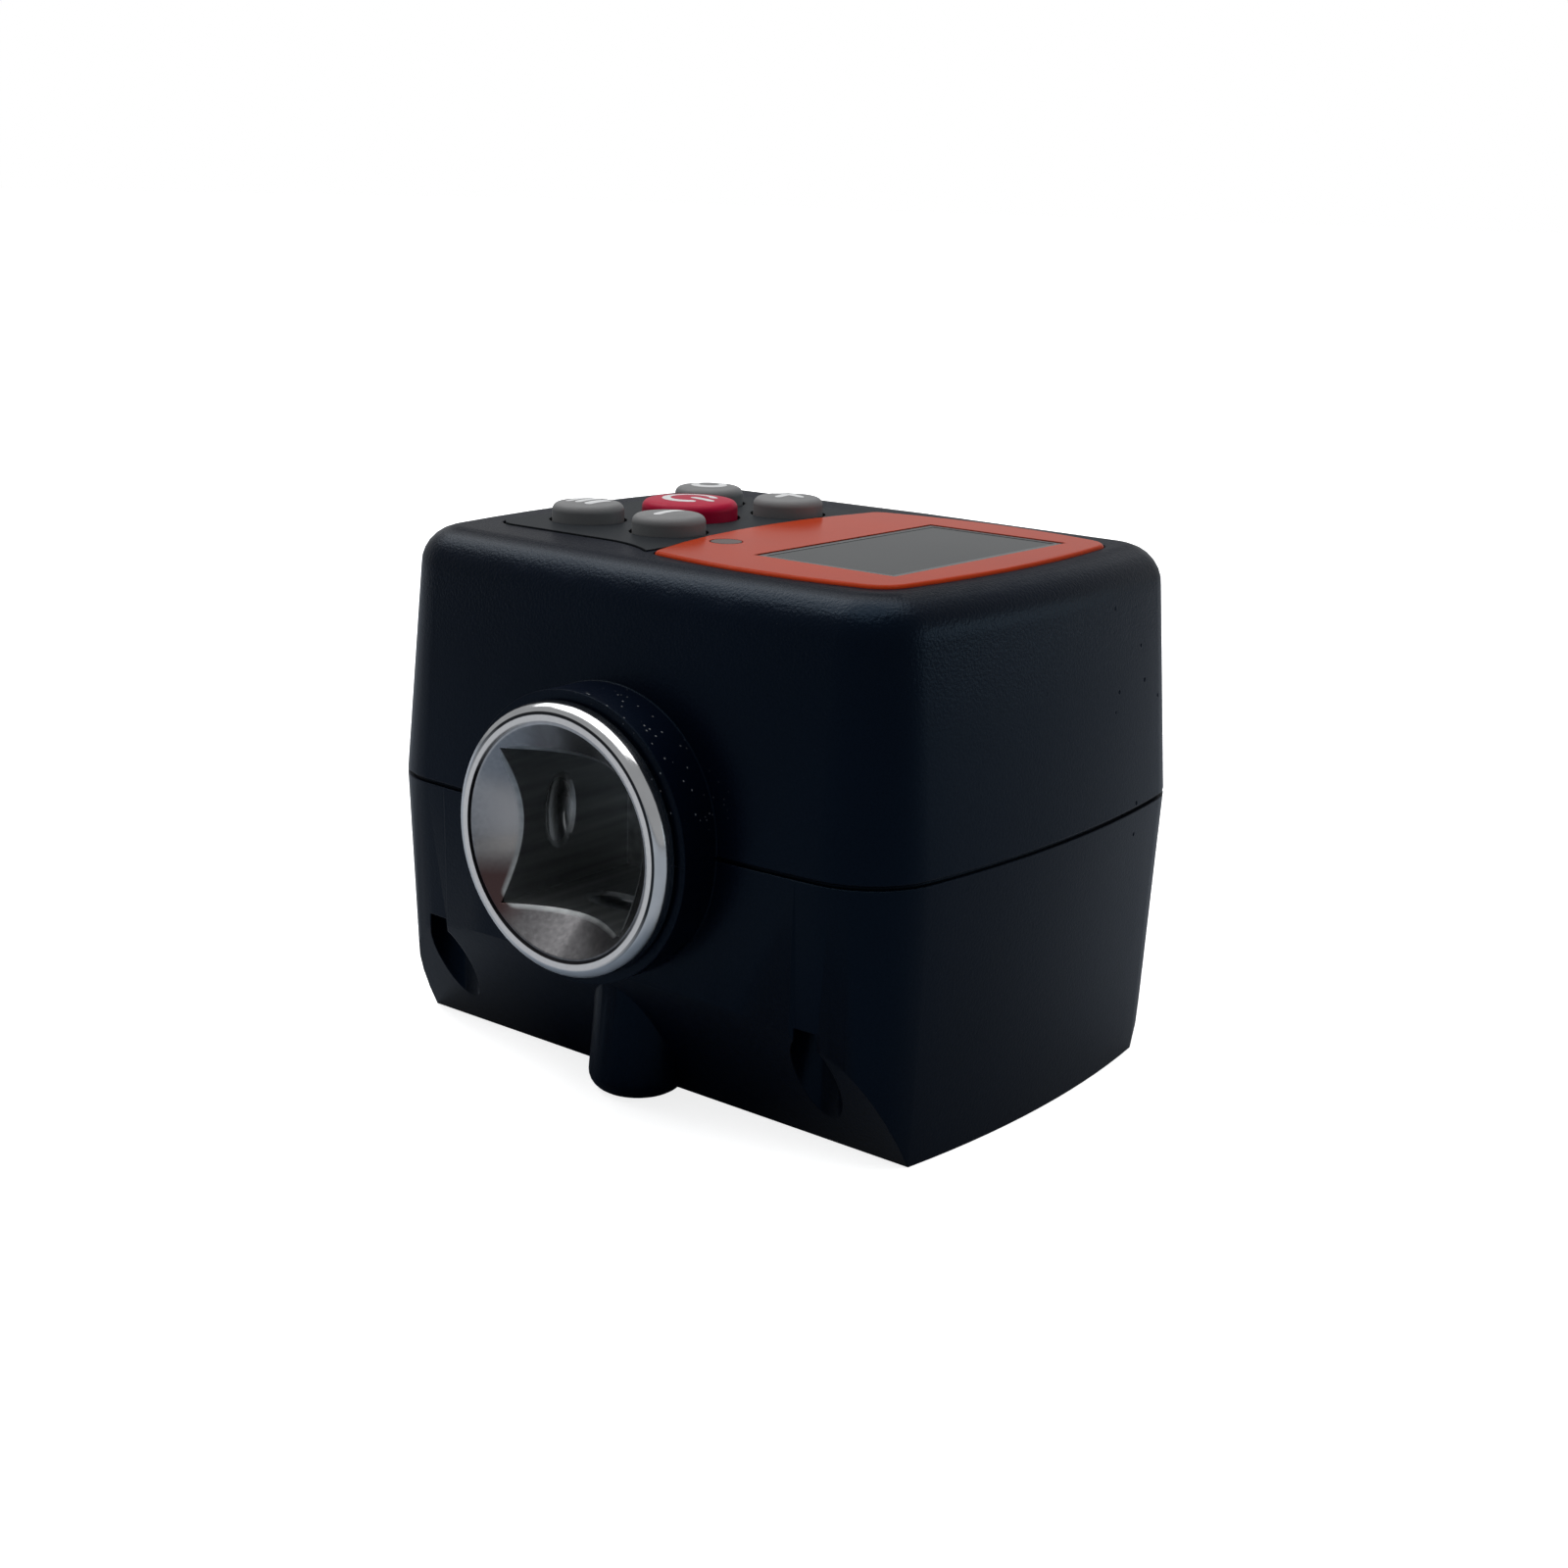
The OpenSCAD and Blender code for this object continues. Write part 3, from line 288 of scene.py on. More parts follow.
def case_plastic():
    """Near-black moulding: grain on the shoulders and less on the sides, a top face that shines less at a
    grazing angle, pale dust beside the rim and a few pits on the right."""
    sheen, top_sheen = 0.14, 0.018
    mat = solid("Housing plastic", (0.0005, 0.0015, 0.0056), (0.0011, 0.0028, 0.0088), 0.28, 0.36, bump=1.0,
                grain=4200.0, broad=45.0, edge=0.18, spec=sheen, tint=(0.42, 0.7, 1.0), relief=0.05)
    tree, bsdf, noise = opened(mat)
    by_rim = box_mask(tree, (1.5, 2, 3.5), (12, 4.6, 13), 1.5)
    laid_over(tree, bsdf, "Base Color", times(tree, by_rim, noise["Specks"]), (0.21, 0.216, 0.225))

    right = box_mask(tree, (27, 38, -3), (31, 54, 17), 3)
    pits = times(tree, right, noise["Pits"])
    laid_over(tree, bsdf, "Roughness", pits, 0.9)
    shoulders = box_mask(tree, (*ROUND_LOW, 17), (*ROUND_HIGH, 40), 6)
    grain = times(tree, noise["Fine"], mixed(tree, shoulders, 0.3, 1.0))
    height = added(tree, "Math", {0: pits, 1: -3.0, 2: grain}, operation="MULTIPLY_ADD").outputs[0]
    bump = next(node for node in tree.nodes if node.type == "BUMP")
    feed(tree, bump.inputs["Height"], height)

    top = box_mask(tree, (*ROUND_LOW, 21.35), (*ROUND_HIGH, 40), 0.45)
    feed(tree, bsdf.inputs["Specular IOR Level"], mixed(tree, top, sheen, top_sheen))
    return mat


def drive_steel():
    """Plated steel: bright on the rim, satin on the face and countersink, dull in the square. The countersink
    and the square carry painted light and shade: the countersink is lighter towards the top, with a painted
    highlight on the left, painted shade at the lower left and lines of painted shade beside it and the face;
    the square is a darker grey, painted shade, with lengthwise streaks of painted light. The masks are in
    millimetres, with Y as the depth behind the rim's front."""
    mat = solid("Drive steel", (0.62, 0.625, 0.63), (0.74, 0.74, 0.745), 0.1, 0.16, bump=0.06,
                grain=2500.0, broad=300.0, metal=1.0, edge=0.12)
    tree, bsdf, noise = opened(mat)

    def paint(mask, color, shade=None):
        """Lay a colour, or a grained run between two, over the steel where the mask is 1."""
        if shade:
            color = varied(tree, noise["Fine"], color, shade)
        laid_over(tree, bsdf, "Base Color", mask, color)

    front = box_mask(tree, (-12, -1, -12), (12, 3.2, 12), 0.15)
    face = times(tree, front, ring_mask(tree, 10.25, 0.12))
    paint(face, (0.95, 0.89, 0.84), (1.0, 0.945, 0.895))
    laid_over(tree, bsdf, "Roughness", face, 0.24)

    # Painted light and shade on the countersink: dark all over, lighter towards the top, a painted highlight
    # on the left and painted shade, tinted reddish, at the lower left
    sunk = times(tree, front, ring_mask(tree, 9.6, 0.08))
    paint(sunk, (0.12, 0.118, 0.122), (0.18, 0.175, 0.18))
    paint(times(tree, sunk, slant_mask(tree, (0, 0, 1), -7, 6)), (0.44, 0.44, 0.45), (0.52, 0.52, 0.53))
    bright = box_mask(tree, (-7.4, -1, -1.5), (-6, 3.2, 2.5), 2)
    paint(times(tree, sunk, bright), (0.46, 0.44, 0.43))
    painted_shade_patch = box_mask(tree, (-12, -1, -7), (-6.3, 3.2, -4.4), 2)
    paint(times(tree, sunk, painted_shade_patch), (0.1, 0.062, 0.062))

    # Two lines of painted shade: round the face on the upper right, and round the countersink on the lower
    # left
    for inner, outer, soft, none, full, color in ((10.22, 10.42, 0.06, -5, 3, (0.03, 0.032, 0.035)),
                                                  (9.56, 9.76, 0.05, 6, -2, (0.02, 0.02, 0.022))):
        side = slant_mask(tree, (0.6, 0, 0.8), none, full)
        paint(times(tree, front, times(tree, band_mask(tree, inner, outer, soft), side)), color)

    # Painted shade in the square: a darker grey than the steel, with lengthwise streaks of painted light
    deep = box_mask(tree, (-6.6, 0.9, -6.6), (6.6, 16, 6.6), 0.25)
    along = added(tree, "Mapping", {"Vector": place_of(tree), "Scale": (1.0, 0.06, 1.0)})
    streaks = added(tree, "TexNoise", {"Vector": along.outputs["Vector"], "Scale": 900.0})
    shade_and_light_streaks = varied(tree, streaks.outputs["Fac"], (0.26, 0.275, 0.28), (0.42, 0.435, 0.44))
    laid_over(tree, bsdf, "Base Color", deep, shade_and_light_streaks)
    laid_over(tree, bsdf, "Roughness", deep, 0.42)
    return mat


def wire_jackets():
    """Red plastic on the rear lead and black on the front one."""
    mat = solid("Wire jacket", (0.35, 0.01, 0.01), (0.4, 0.015, 0.012), 0.35, 0.45)
    tree, bsdf, _ = opened(mat)
    front = box_mask(tree, (0, 0, -30), (30, 28, 30), 0.1)
    laid_over(tree, bsdf, "Base Color", front, (0.015, 0.015, 0.016))
    return mat


def finishes():
    """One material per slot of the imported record, and those of the finer pieces."""
    return {
        "case_black": case_plastic(),
        "bezel_orange": solid("Bezel plastic", (0.375, 0.034, 0.007), (0.435, 0.044, 0.011), 0.14, 0.2,
                              bump=0.05, grain=1500.0, edge=0.1, spec=0.02),
        "lens_smoke": solid("Window plastic", (0.036, 0.038, 0.039), (0.047, 0.049, 0.049), 0.1, 0.14,
                            edge=0.0, spec=0.024),
        "keypad_dark": solid("Keypad sheet", (0.016, 0.018, 0.021), (0.022, 0.025, 0.028), 0.4, 0.48,
                             bump=0.35, grain=5000.0, edge=0.1, spec=0.026),
        "key_grey": solid("Grey rubber", (0.165, 0.165, 0.165), (0.2, 0.2, 0.2), 0.45, 0.55,
                          bump=0.3, grain=4500.0, edge=0.0, spec=0.2),
        "key_red": solid("Red rubber", (0.38, 0.002, 0.03), (0.44, 0.004, 0.04), 0.36, 0.46,
                         bump=0.25, grain=4500.0, edge=0.0, spec=0.1),
        "switch_black": solid("Black parts", (0.02, 0.02, 0.02), (0.03, 0.03, 0.03), 0.4, 0.5),
        "switch_body": solid("Switch bodies", (0.5, 0.5, 0.48), (0.56, 0.56, 0.54), 0.4, 0.5),
        "board_green": solid("Solder mask", (0.008, 0.1, 0.04), (0.012, 0.13, 0.055), 0.22, 0.3,
                             coat=0.3, broad=200.0),
        "lcd_glass": solid("Display glass", (0.3, 0.34, 0.3), (0.33, 0.37, 0.33), 0.05, 0.08, coat=0.5),
        "white_plastic": solid("White plastic", (0.75, 0.75, 0.72), (0.8, 0.8, 0.78), 0.4, 0.5),
        "strip_pink": solid("Contact strip", (0.6, 0.25, 0.3), (0.66, 0.3, 0.34), 0.5, 0.6, broad=900.0),
        "indicator_red": solid("Indicator lens", (0.05, 0.022, 0.016), (0.07, 0.03, 0.02), 0.1, 0.14,
                               edge=0.05, spec=0.04),
        "drive_steel": drive_steel(),
        "screw_black": solid("Black zinc", (0.02, 0.02, 0.021), (0.03, 0.03, 0.031), 0.35, 0.45,
                             metal=0.6, broad=500.0),
        "spring_steel": solid("Spring steel", (0.55, 0.55, 0.54), (0.63, 0.63, 0.62), 0.22, 0.32,
                              metal=1.0, broad=400.0),
        "gauge_film": solid("Gauge film", (0.45, 0.2, 0.04), (0.55, 0.27, 0.06), 0.2, 0.3,
                            coat=0.3, broad=500.0),
        "seal_rubber": solid("Seal rubber", (0.012, 0.012, 0.012), (0.018, 0.018, 0.018), 0.5, 0.6),
        "cell_wrap": solid("Cell sleeve", (0.05, 0.09, 0.14), (0.06, 0.105, 0.16), 0.2, 0.28, coat=0.4),
        "wire_jacket": wire_jackets(),
        "print_white": solid("Pale print", (0.6, 0.6, 0.6), (0.68, 0.68, 0.68), 0.45, 0.55,
                             bump=0.1, grain=6000.0, edge=0.0),
        "print_dark": solid("Dark print", (0.03, 0.032, 0.034), (0.04, 0.042, 0.044), 0.25, 0.3, edge=0.0),
        "cell_band": solid("Cell band", (0.42, 0.23, 0.05), (0.5, 0.29, 0.07), 0.25, 0.32,
                           metal=0.7, edge=0.0),
        "gauge_foil": solid("Gauge foil", (0.55, 0.36, 0.2), (0.62, 0.42, 0.25), 0.25, 0.35,
                            metal=1.0, edge=0.0),
        "solder": solid("Solder", (0.6, 0.6, 0.6), (0.7, 0.7, 0.7), 0.2, 0.35, metal=1.0, broad=900.0),
    }


# Surfaces


def mesh_object(name, verts, faces, mat, smooth=True):
    """An object at the origin from arrays of points and faces."""
    me = bpy.data.meshes.new(name)
    me.from_pydata(np.asarray(verts, float).tolist(), [], [tuple(int(i) for i in f) for f in faces])
    me.update()
    me.polygons.foreach_set("use_smooth", np.full(len(me.polygons), smooth))
    me.materials.append(mat)
    ob = bpy.data.objects.new(name, me)
    bpy.context.scene.collection.objects.link(ob)
    return ob


def joined(name, parts, mat, smooth=False):
    """One object of several parts, each given as its points and faces."""
    verts = np.vstack([v for v, _ in parts])
    starts = np.cumsum([0] + [len(v) for v, _ in parts])
    faces = [[i + start for i in f] for (_, fs), start in zip(parts, starts) for f in fs]
    return mesh_object(name, verts, faces, mat, smooth)


def finished_copy(node, mat, angle):
    """A copy of a solid's mesh with its doubled points merged, flat facets joined and its faces shaded
    smooth up to the angle; it stands for the node and rides on the node's body."""
    src = frame["nodes"][node]
    bm = bmesh.new()
    bm.from_mesh(src.data)
    bmesh.ops.remove_doubles(bm, verts=bm.verts, dist=SAME_POINT)
    bmesh.ops.dissolve_limit(bm, angle_limit=math.radians(FLAT_ANGLE), verts=bm.verts, edges=bm.edges,
                             use_dissolve_boundaries=False)
    for e in bm.edges:
        e.smooth = len(e.link_faces) == 2 and e.calc_face_angle(4.0) < angle
    for f in bm.faces:
        f.smooth = True
        f.material_index = 0
    me = bpy.data.meshes.new(node + "_finish")
    bm.to_mesh(me)
    bm.free()
    me.materials.append(mat)
    ob = bpy.data.objects.new(node + "_finish", me)
    bpy.context.scene.collection.objects.link(ob)
    weighted = ob.modifiers.new("Weighted Normal", "WEIGHTED_NORMAL")
    weighted.keep_sharp = True
    weighted.weight = 60
    return ob


def flat_ring(name, outline, hole, z0, z1, mat):
    """A flat ring: walls round the outline and round a hole of the same number of points, from z0 to z1,
    closed above and below by quads between the two."""
    n = len(outline)
    verts = np.vstack([np.c_[at, np.full(n, z)] for at in (outline, hole) for z in (z0, z1)])
    i = np.arange(n)
    j = (i + 1) % n
    faces = np.vstack([np.c_[i, j, j + n, i + n], np.c_[j + 2 * n, i + 2 * n, i + 3 * n, j + 3 * n],
                       np.c_[i + n, j + n, j + 3 * n, i + 3 * n], np.c_[j, i, i + 2 * n, j + 2 * n]])
    return mesh_object(name, verts, faces, mat, smooth=False)


def cap_heights(key):
    """A key's axis, and its upper surface as distances from that axis with the height at each."""
    lo, hi = (np.array(v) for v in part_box(key))
    mesh = frame["nodes"][key].data
    p = np.empty(3 * len(mesh.vertices))
    mesh.vertices.foreach_get("co", p)
    p = p.reshape(-1, 3)
    p = p[p[:, 2] > hi[2] - CAP_DEPTH]
    axis = (lo[:2] + hi[:2]) / 2
    away = np.hypot(*(p[:, :2] - axis).T)
    order = np.argsort(away)
    return axis, away[order], p[order, 2]


def ribbon(path, width, place, rise, closed=False):
    """A printed line: at each point of the path lie a left and a right edge, half a width away, each just
    under the surface and at rise above it. Towards an open end the half width follows a quarter circle, so
    that the end is round. Place turns flat points and a lift into points in space."""
    p = np.asarray(path, float)
    n = len(p)
    if closed:
        d = np.roll(p, -1, axis=0) - np.roll(p, 1, axis=0)
        half = np.full(n, width / 2)
    else:
        d = np.gradient(p, axis=0)
        run = np.r_[0, np.cumsum(np.linalg.norm(np.diff(p, axis=0), axis=1))]
        to_end = np.minimum(run, run[-1] - run) / (width / 2)
        half = width / 2 * np.sqrt(np.clip(1 - (1 - np.clip(to_end, 0.04, 1)) ** 2, 0, 1))
    d /= np.linalg.norm(d, axis=1)[:, None]
    side = np.c_[-d[:, 1], d[:, 0]] * half[:, None]
    edges = [p + side, p - side]
    verts = np.vstack([place(e, lift) for lift in (-MARK_SINK, rise) for e in edges])
    i = np.arange(n if closed else n - 1)
    j = (i + 1) % n
    quads = [(2, 3), (1, 0), (0, 2), (3, 1)]
    faces = np.vstack([np.c_[i + a * n, i + b * n, j + b * n, j + a * n] for a, b in quads]).tolist()
    if not closed:
        faces += [[0, n, 3 * n, 2 * n], [n - 1, 3 * n - 1, 4 * n - 1, 2 * n - 1]]
    return verts, faces


def on_level(height, side):
    """A place function for a level surface that looks up, with side 1, or down, with side -1. Seen from
    below, Y is mirrored about the case's middle, so that the faces still point outwards."""
    def place(at, lift):
        return np.c_[at[:, 0], CASE_MIDDLE + side * at[:, 1], np.full(len(at), height + side * lift)]

    return place


def turned(profile, centre, axis, sides):
    """A turned piece: each point of the profile, as its place along the axis and its distance from it, goes
    round the axis in a circle. A profile that starts and ends on the axis closes in two poles, and any
    other is a loop. It runs anticlockwise, so that the faces point outwards."""
    prof = np.asarray(profile, float)
    poles = prof[0, 1] == 0
    rings = prof[1:-1] if poles else prof
    axis = np.asarray(axis, float)
    a = np.cross(axis, (0, 0, 1.0)) if axis[2] == 0 else np.array((1.0, 0, 0))
    t = np.linspace(0, 2 * np.pi, sides, endpoint=False)[:, None]
    spokes = np.cos(t) * a + np.sin(t) * np.cross(axis, a)
    grid = rings[:, :1, None] * axis + rings[:, 1:, None] * spokes
    verts = grid.reshape(-1, 3) + centre
    m = len(rings)
    i = np.arange(m - 1 if poles else m)[:, None]
    j = np.arange(sides)[None, :]
    near, far, step = i * sides, (i + 1) % m * sides, (j + 1) % sides
    faces = np.stack([near + j, far + j, far + step, near + step], -1).reshape(-1, 4).tolist()
    if poles:
        verts = np.vstack([verts, centre + axis * prof[0, 0], centre + axis * prof[-1, 0]])
        j, step, end, top = j[0], step[0], (m - 1) * sides, m * sides
        faces += np.c_[np.full(sides, top), j, step].tolist()
        faces += np.c_[end + j, np.full(sides, top + 1), end + step].tolist()
    return verts, faces


def strap(path, width, thick, origin, out, down):
    """A bent strip: the path's points, as distances out and down, get a thickness across the path and a
    width along the third direction, which closes a bar of four sides with two ends."""
    p = np.asarray(path, float)
    d = np.gradient(p, axis=0)
    d /= np.linalg.norm(d, axis=1)[:, None]
    across = np.c_[-d[:, 1], d[:, 0]] * thick / 2
    out, down = np.asarray(out, float), np.asarray(down, float)
    wide = np.cross(out, down) * width / 2
    rows = [(p + across, -wide), (p - across, -wide), (p - across, wide), (p + across, wide)]
    verts = np.vstack([q[:, :1] * out + q[:, 1:] * down + w for q, w in rows]) + origin
    n = len(p)
    i = np.arange(n - 1)
    faces = np.vstack([np.c_[i + a * n, i + 1 + a * n, i + 1 + b * n, i + b * n]
                       for a, b in ((0, 1), (1, 2), (2, 3), (3, 0))]).tolist()
    faces += [[0, n, 2 * n, 3 * n], [n - 1, 4 * n - 1, 3 * n - 1, 2 * n - 1]]
    return verts, faces


def ride_meter(name, parts, finish, smooth=False):
    """One object of several parts that rides on the meter, with a finish by name."""
    ob = joined(name, parts, bpy.data.materials[finish], smooth)
    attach(ob, "meter")


# Operators


class TorqueMeterSettings(bpy.types.PropertyGroup):
    """Values that the operators use."""

    mark_width: bpy.props.FloatProperty(
        name="Mark width", description="Width of the marks on the keys", default=0.00075, unit="LENGTH")
    mark_rise: bpy.props.FloatProperty(
        name="Mark rise", description="How far the marks stand out", default=0.000012, unit="LENGTH")
    border: bpy.props.FloatProperty(
        name="Window border", description="Width of the printed window border", default=0.0006, unit="LENGTH")
    floor_return: bpy.props.FloatVectorProperty(
        name="Floor return", description="Colour the floor throws back", default=(0.235, 0.275, 0.33),
        subtype="COLOR")
    fill: bpy.props.FloatProperty(
        name="Fill", description="Strength of the even light from all round", default=0.12, min=0.0)
    floor_gloss: bpy.props.FloatProperty(
        name="Floor gloss", description="Share of the floor's white in reflections", default=0.12, min=0.0,
        max=1.0, subtype="FACTOR")
    sky_gloss: bpy.props.FloatProperty(
        name="Backdrop gloss", description="Share of the backdrop's white in reflections", default=0.3,
        min=0.0, max=1.0, subtype="FACTOR")
    smooth_angle: bpy.props.FloatProperty(
        name="Smooth angle", description="Facets below this angle look smooth", default=math.radians(34),
        subtype="ANGLE")


class TM_OT_finish_solids(bpy.types.Operator):
    """Give every solid its finish and smooth shading"""

    bl_idname = "torque_meter.finish_solids"
    bl_label = "Finish solids"

    def execute(self, context):
        st = context.scene.torque_meter
        mats = finishes()
        slots = {s["node"]: s["material_slot"] for s in frame["record"]["subparts"]}
        for node, src in frame["nodes"].items():
            body = body_of(src)
            ob = finished_copy(node, mats[slots[node]], st.smooth_angle)
            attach(ob, body[0])
            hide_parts(node)
            if node == "detent_spring":
                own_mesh(ob)
        return {"FINISHED"}


class TM_OT_key_marks(bpy.types.Operator):
    """Print the symbols on the keys"""

    bl_idname = "torque_meter.key_marks"
    bl_label = "Key marks"

    def execute(self, context):
        st = context.scene.torque_meter
        line = np.linspace(-1, 1, 25)
        turn = np.linspace(0, 2 * np.pi, 49)[:-1]
        ring = np.c_[np.cos(turn), np.sin(turn)]
        gap = np.radians(np.linspace(125, 415, 61))
        open_ring = np.c_[np.cos(gap), np.sin(gap)]
        bar = np.c_[line, line * 0]
        level = np.c_[line, np.ones(25)]
        spoke = np.c_[line * 0, 0.7 + line * 0.6]
        # Per mark its key, its reach in millimetres and its lines of reach 1, with whether each is closed
        marks = {
            "minus_mark": ("key_minus", 1.8, [(bar, False)]),
            "plus_mark": ("key_plus", 1.7, [(bar, False), (bar[:, ::-1], False)]),
            "menu_mark": ("key_mode", 1.5, [(level * [1, y], False) for y in (-0.75, 0, 0.75)]),
            "clear_mark": ("key_clear", 1.3, [(ring, True)]),
            "power_mark": ("key_power", 2.1, [(open_ring, False), (spoke, False)]),
        }
        for name, (key, reach, lines) in marks.items():
            axis, away, height = cap_heights(key)

            def place(at, lift):
                return np.c_[at, np.interp(np.hypot(*(at - axis).T), away, height) + lift]

            for k, (path, closed) in enumerate(lines):
                read_from_right = np.c_[path[:, 1], -path[:, 0]] * reach * MM + axis
                part = ribbon(read_from_right, st.mark_width, place, st.mark_rise * (1 + k / 4), closed)
                ob = joined(f"{name}_{k}", [part], bpy.data.materials["Pale print"])
                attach(ob, body_of(frame["nodes"][key])[0])
        return {"FINISHED"}


class TM_OT_window_print(bpy.types.Operator):
    """Print the dark border on the window's edge"""

    bl_idname = "torque_meter.window_print"
    bl_label = "Window print"

    def execute(self, context):
        st = context.scene.torque_meter
        lo, hi = (np.array(v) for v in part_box("display_lens"))
        outer = np.array([[lo[0], lo[1]], [hi[0], lo[1]], [hi[0], hi[1]], [lo[0], hi[1]]])
        inner = outer + np.array([[1, 1], [-1, 1], [-1, -1], [1, -1]]) * st.border
        sunk, proud = 0.05 * MM, 0.03 * MM
        ob = flat_ring("window_border", outer, inner, hi[2] - sunk, hi[2] + proud,
                       bpy.data.materials["Dark print"])
        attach(ob, "meter")
        return {"FINISHED"}


class TM_OT_cell_fittings(bpy.types.Operator):
    """Give the cells their metal ends, bands and polarity marks"""

    bl_idname = "torque_meter.cell_fittings"
    bl_label = "Cell fittings"

    def execute(self, context):
        lo, hi = (np.array(v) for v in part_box("battery_cells"))
        r = (hi[2] - lo[2]) / 2
        z = (lo[2] + hi[2]) / 2
        step = (hi[1] - lo[1]) / 2 - r
        mid = (lo[1] + hi[1]) / 2
        tip = hi[0]
        shoulder = tip - 1 * MM  # where the round end stops and the nub starts
        skin = 0.03 * MM
        nub = r / 3
        cap = [(shoulder - skin, nub - skin), (tip - 2 * skin, nub - skin), (tip - 2 * skin, nub + skin),
               (shoulder + 4 * skin, nub + 2 * skin), (shoulder + 2 * skin, r / 2),
               (shoulder + 2 * skin, r * 0.84), (shoulder - skin, r * 0.84)]
        sleeve_end = shoulder - 12 * skin
        band = [(tip * 0.5, r - skin), (sleeve_end, r - skin), (sleeve_end, r + skin), (tip * 0.5, r + skin)]
        line = np.linspace(-1, 1, 13) * 1.3 * MM
        stroke = 0.5 * MM
        ends, bands, marks = [], [], []
        for s in (-1, 1):
            centre = np.array((0, mid + s * step, z))
            ends.append(turned(cap, centre, (s, 0, 0), 48))
            bands.append(turned(band, centre, (s, 0, 0), 96))

            def place(at, lift):
                turn = at[:, 1] / r
                return np.c_[at[:, 0], centre[1] - (r + lift) * np.sin(turn), z - (r + lift) * np.cos(turn)]

            plus, minus = s * tip * 0.4, -s * tip * 0.72
            for along, across in ((line + plus, line * 0), (line * 0 + plus, line), (line * 0 + minus, line)):
                marks.append(ribbon(np.c_[along, across], stroke, place, skin))
        ride_meter("cell_ends", ends, "Spring steel")
        ride_meter("cell_bands", bands, "Cell band")
        ride_meter("cell_marks", marks, "Pale print")
        return {"FINISHED"}


class TM_OT_board_fittings(bpy.types.Operator):
    """Give the board its chip legs, solder joints and outlines, and the gauges their foil"""

    bl_idname = "torque_meter.board_fittings"
    bl_label = "Board fittings"

    def execute(self, context):
        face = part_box("main_board")[0][2]
        down = (0, 0, -1)
        legs, frames = [], []
        pitch, margin = 0.8, 1.3
        leg_width, leg_thick = 0.32 * MM, 0.12 * MM
        line_width, foil_width, rise = 0.18 * MM, 0.16 * MM, 0.02 * MM
        for x, y, w, d, h in CHIPS:
            half = np.array((w, d)) / 2
            at = np.array((x * MM, y * MM + CASE_MIDDLE))
            leg = np.array([(-0.1, h / 2), (0.25, h / 2), (0.4, h / 2 - 0.08), (0.5, 0.14), (0.62, 0.07),
                            (0.95, 0.07)]) * MM
            sides = (0, 1) if w == d else (0,) if d > w else (1,)
            for axis in sides:
                out, along = np.eye(3)[axis], np.eye(3)[1 - axis]
                count = int(half[1 - axis] / pitch)
                for place in np.arange(-count + 0.5, count) * pitch * MM:
                    for s in (-1, 1):
                        start = np.array((*at, face)) + out * s * half[axis] * MM + along * place
                        legs.append(strap(leg, leg_width, leg_thick, start, out * s, down))
            ring = np.array([(-1, -1), (1, -1), (1, 1), (-1, 1)]) * (half + margin) * MM
            loop = np.vstack([np.linspace(ring[k], ring[(k + 1) % 4], 12, endpoint=False) for k in range(4)])
            mirrored = loop + (at[0], CASE_MIDDLE - at[1])
            frames.append(ribbon(mirrored, line_width, on_level(face, -1), rise, True))

        joints = []
        dome = np.array([(0.85, 0), (0.85, 0.16), (0.45, 0.2), (0.25, 0.3), (0.1, 0.46), (0, 0.62),
                         (-0.05, 0.62), (-0.05, 0)]) * MM
        for key in ("mode", "minus", "power", "clear", "plus"):
            a, b = (np.array(v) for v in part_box("plunger_" + key))
            for dx in (-1.7, 1.7):
                for dy in (-1.1, 1.1):
                    centre = np.array(((a[0] + b[0]) / 2 + dx * MM, (a[1] + b[1]) / 2 + dy * MM, face))
                    joints.append(turned(dome, centre, down, 12))

        lanes = np.repeat(np.linspace(-2.2, 2.2, 12), 2)
        zigzag = np.c_[lanes, np.tile([-2.9, 2.9, 2.9, -2.9], 6)] * MM
        corner = np.arange(len(zigzag))
        fine = np.linspace(0, corner[-1], 8 * corner[-1] + 1)
        path = np.c_[np.interp(fine, corner, zigzag[:, 0]), np.interp(fine, corner, zigzag[:, 1])]
        glo, ghi = (np.array(v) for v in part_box("strain_gauges"))
        foil = [ribbon(path, foil_width, on_level(level, s), rise)
                for s, level in ((1, ghi[2]), (-1, glo[2]))]

        ride_meter("chip_legs", legs, "Solder")
        ride_meter("solder_joints", joints, "Solder", smooth=True)
        ride_meter("board_outlines", frames, "Pale print")
        ride_meter("gauge_foil", foil, "Gauge foil")
        return {"FINISHED"}


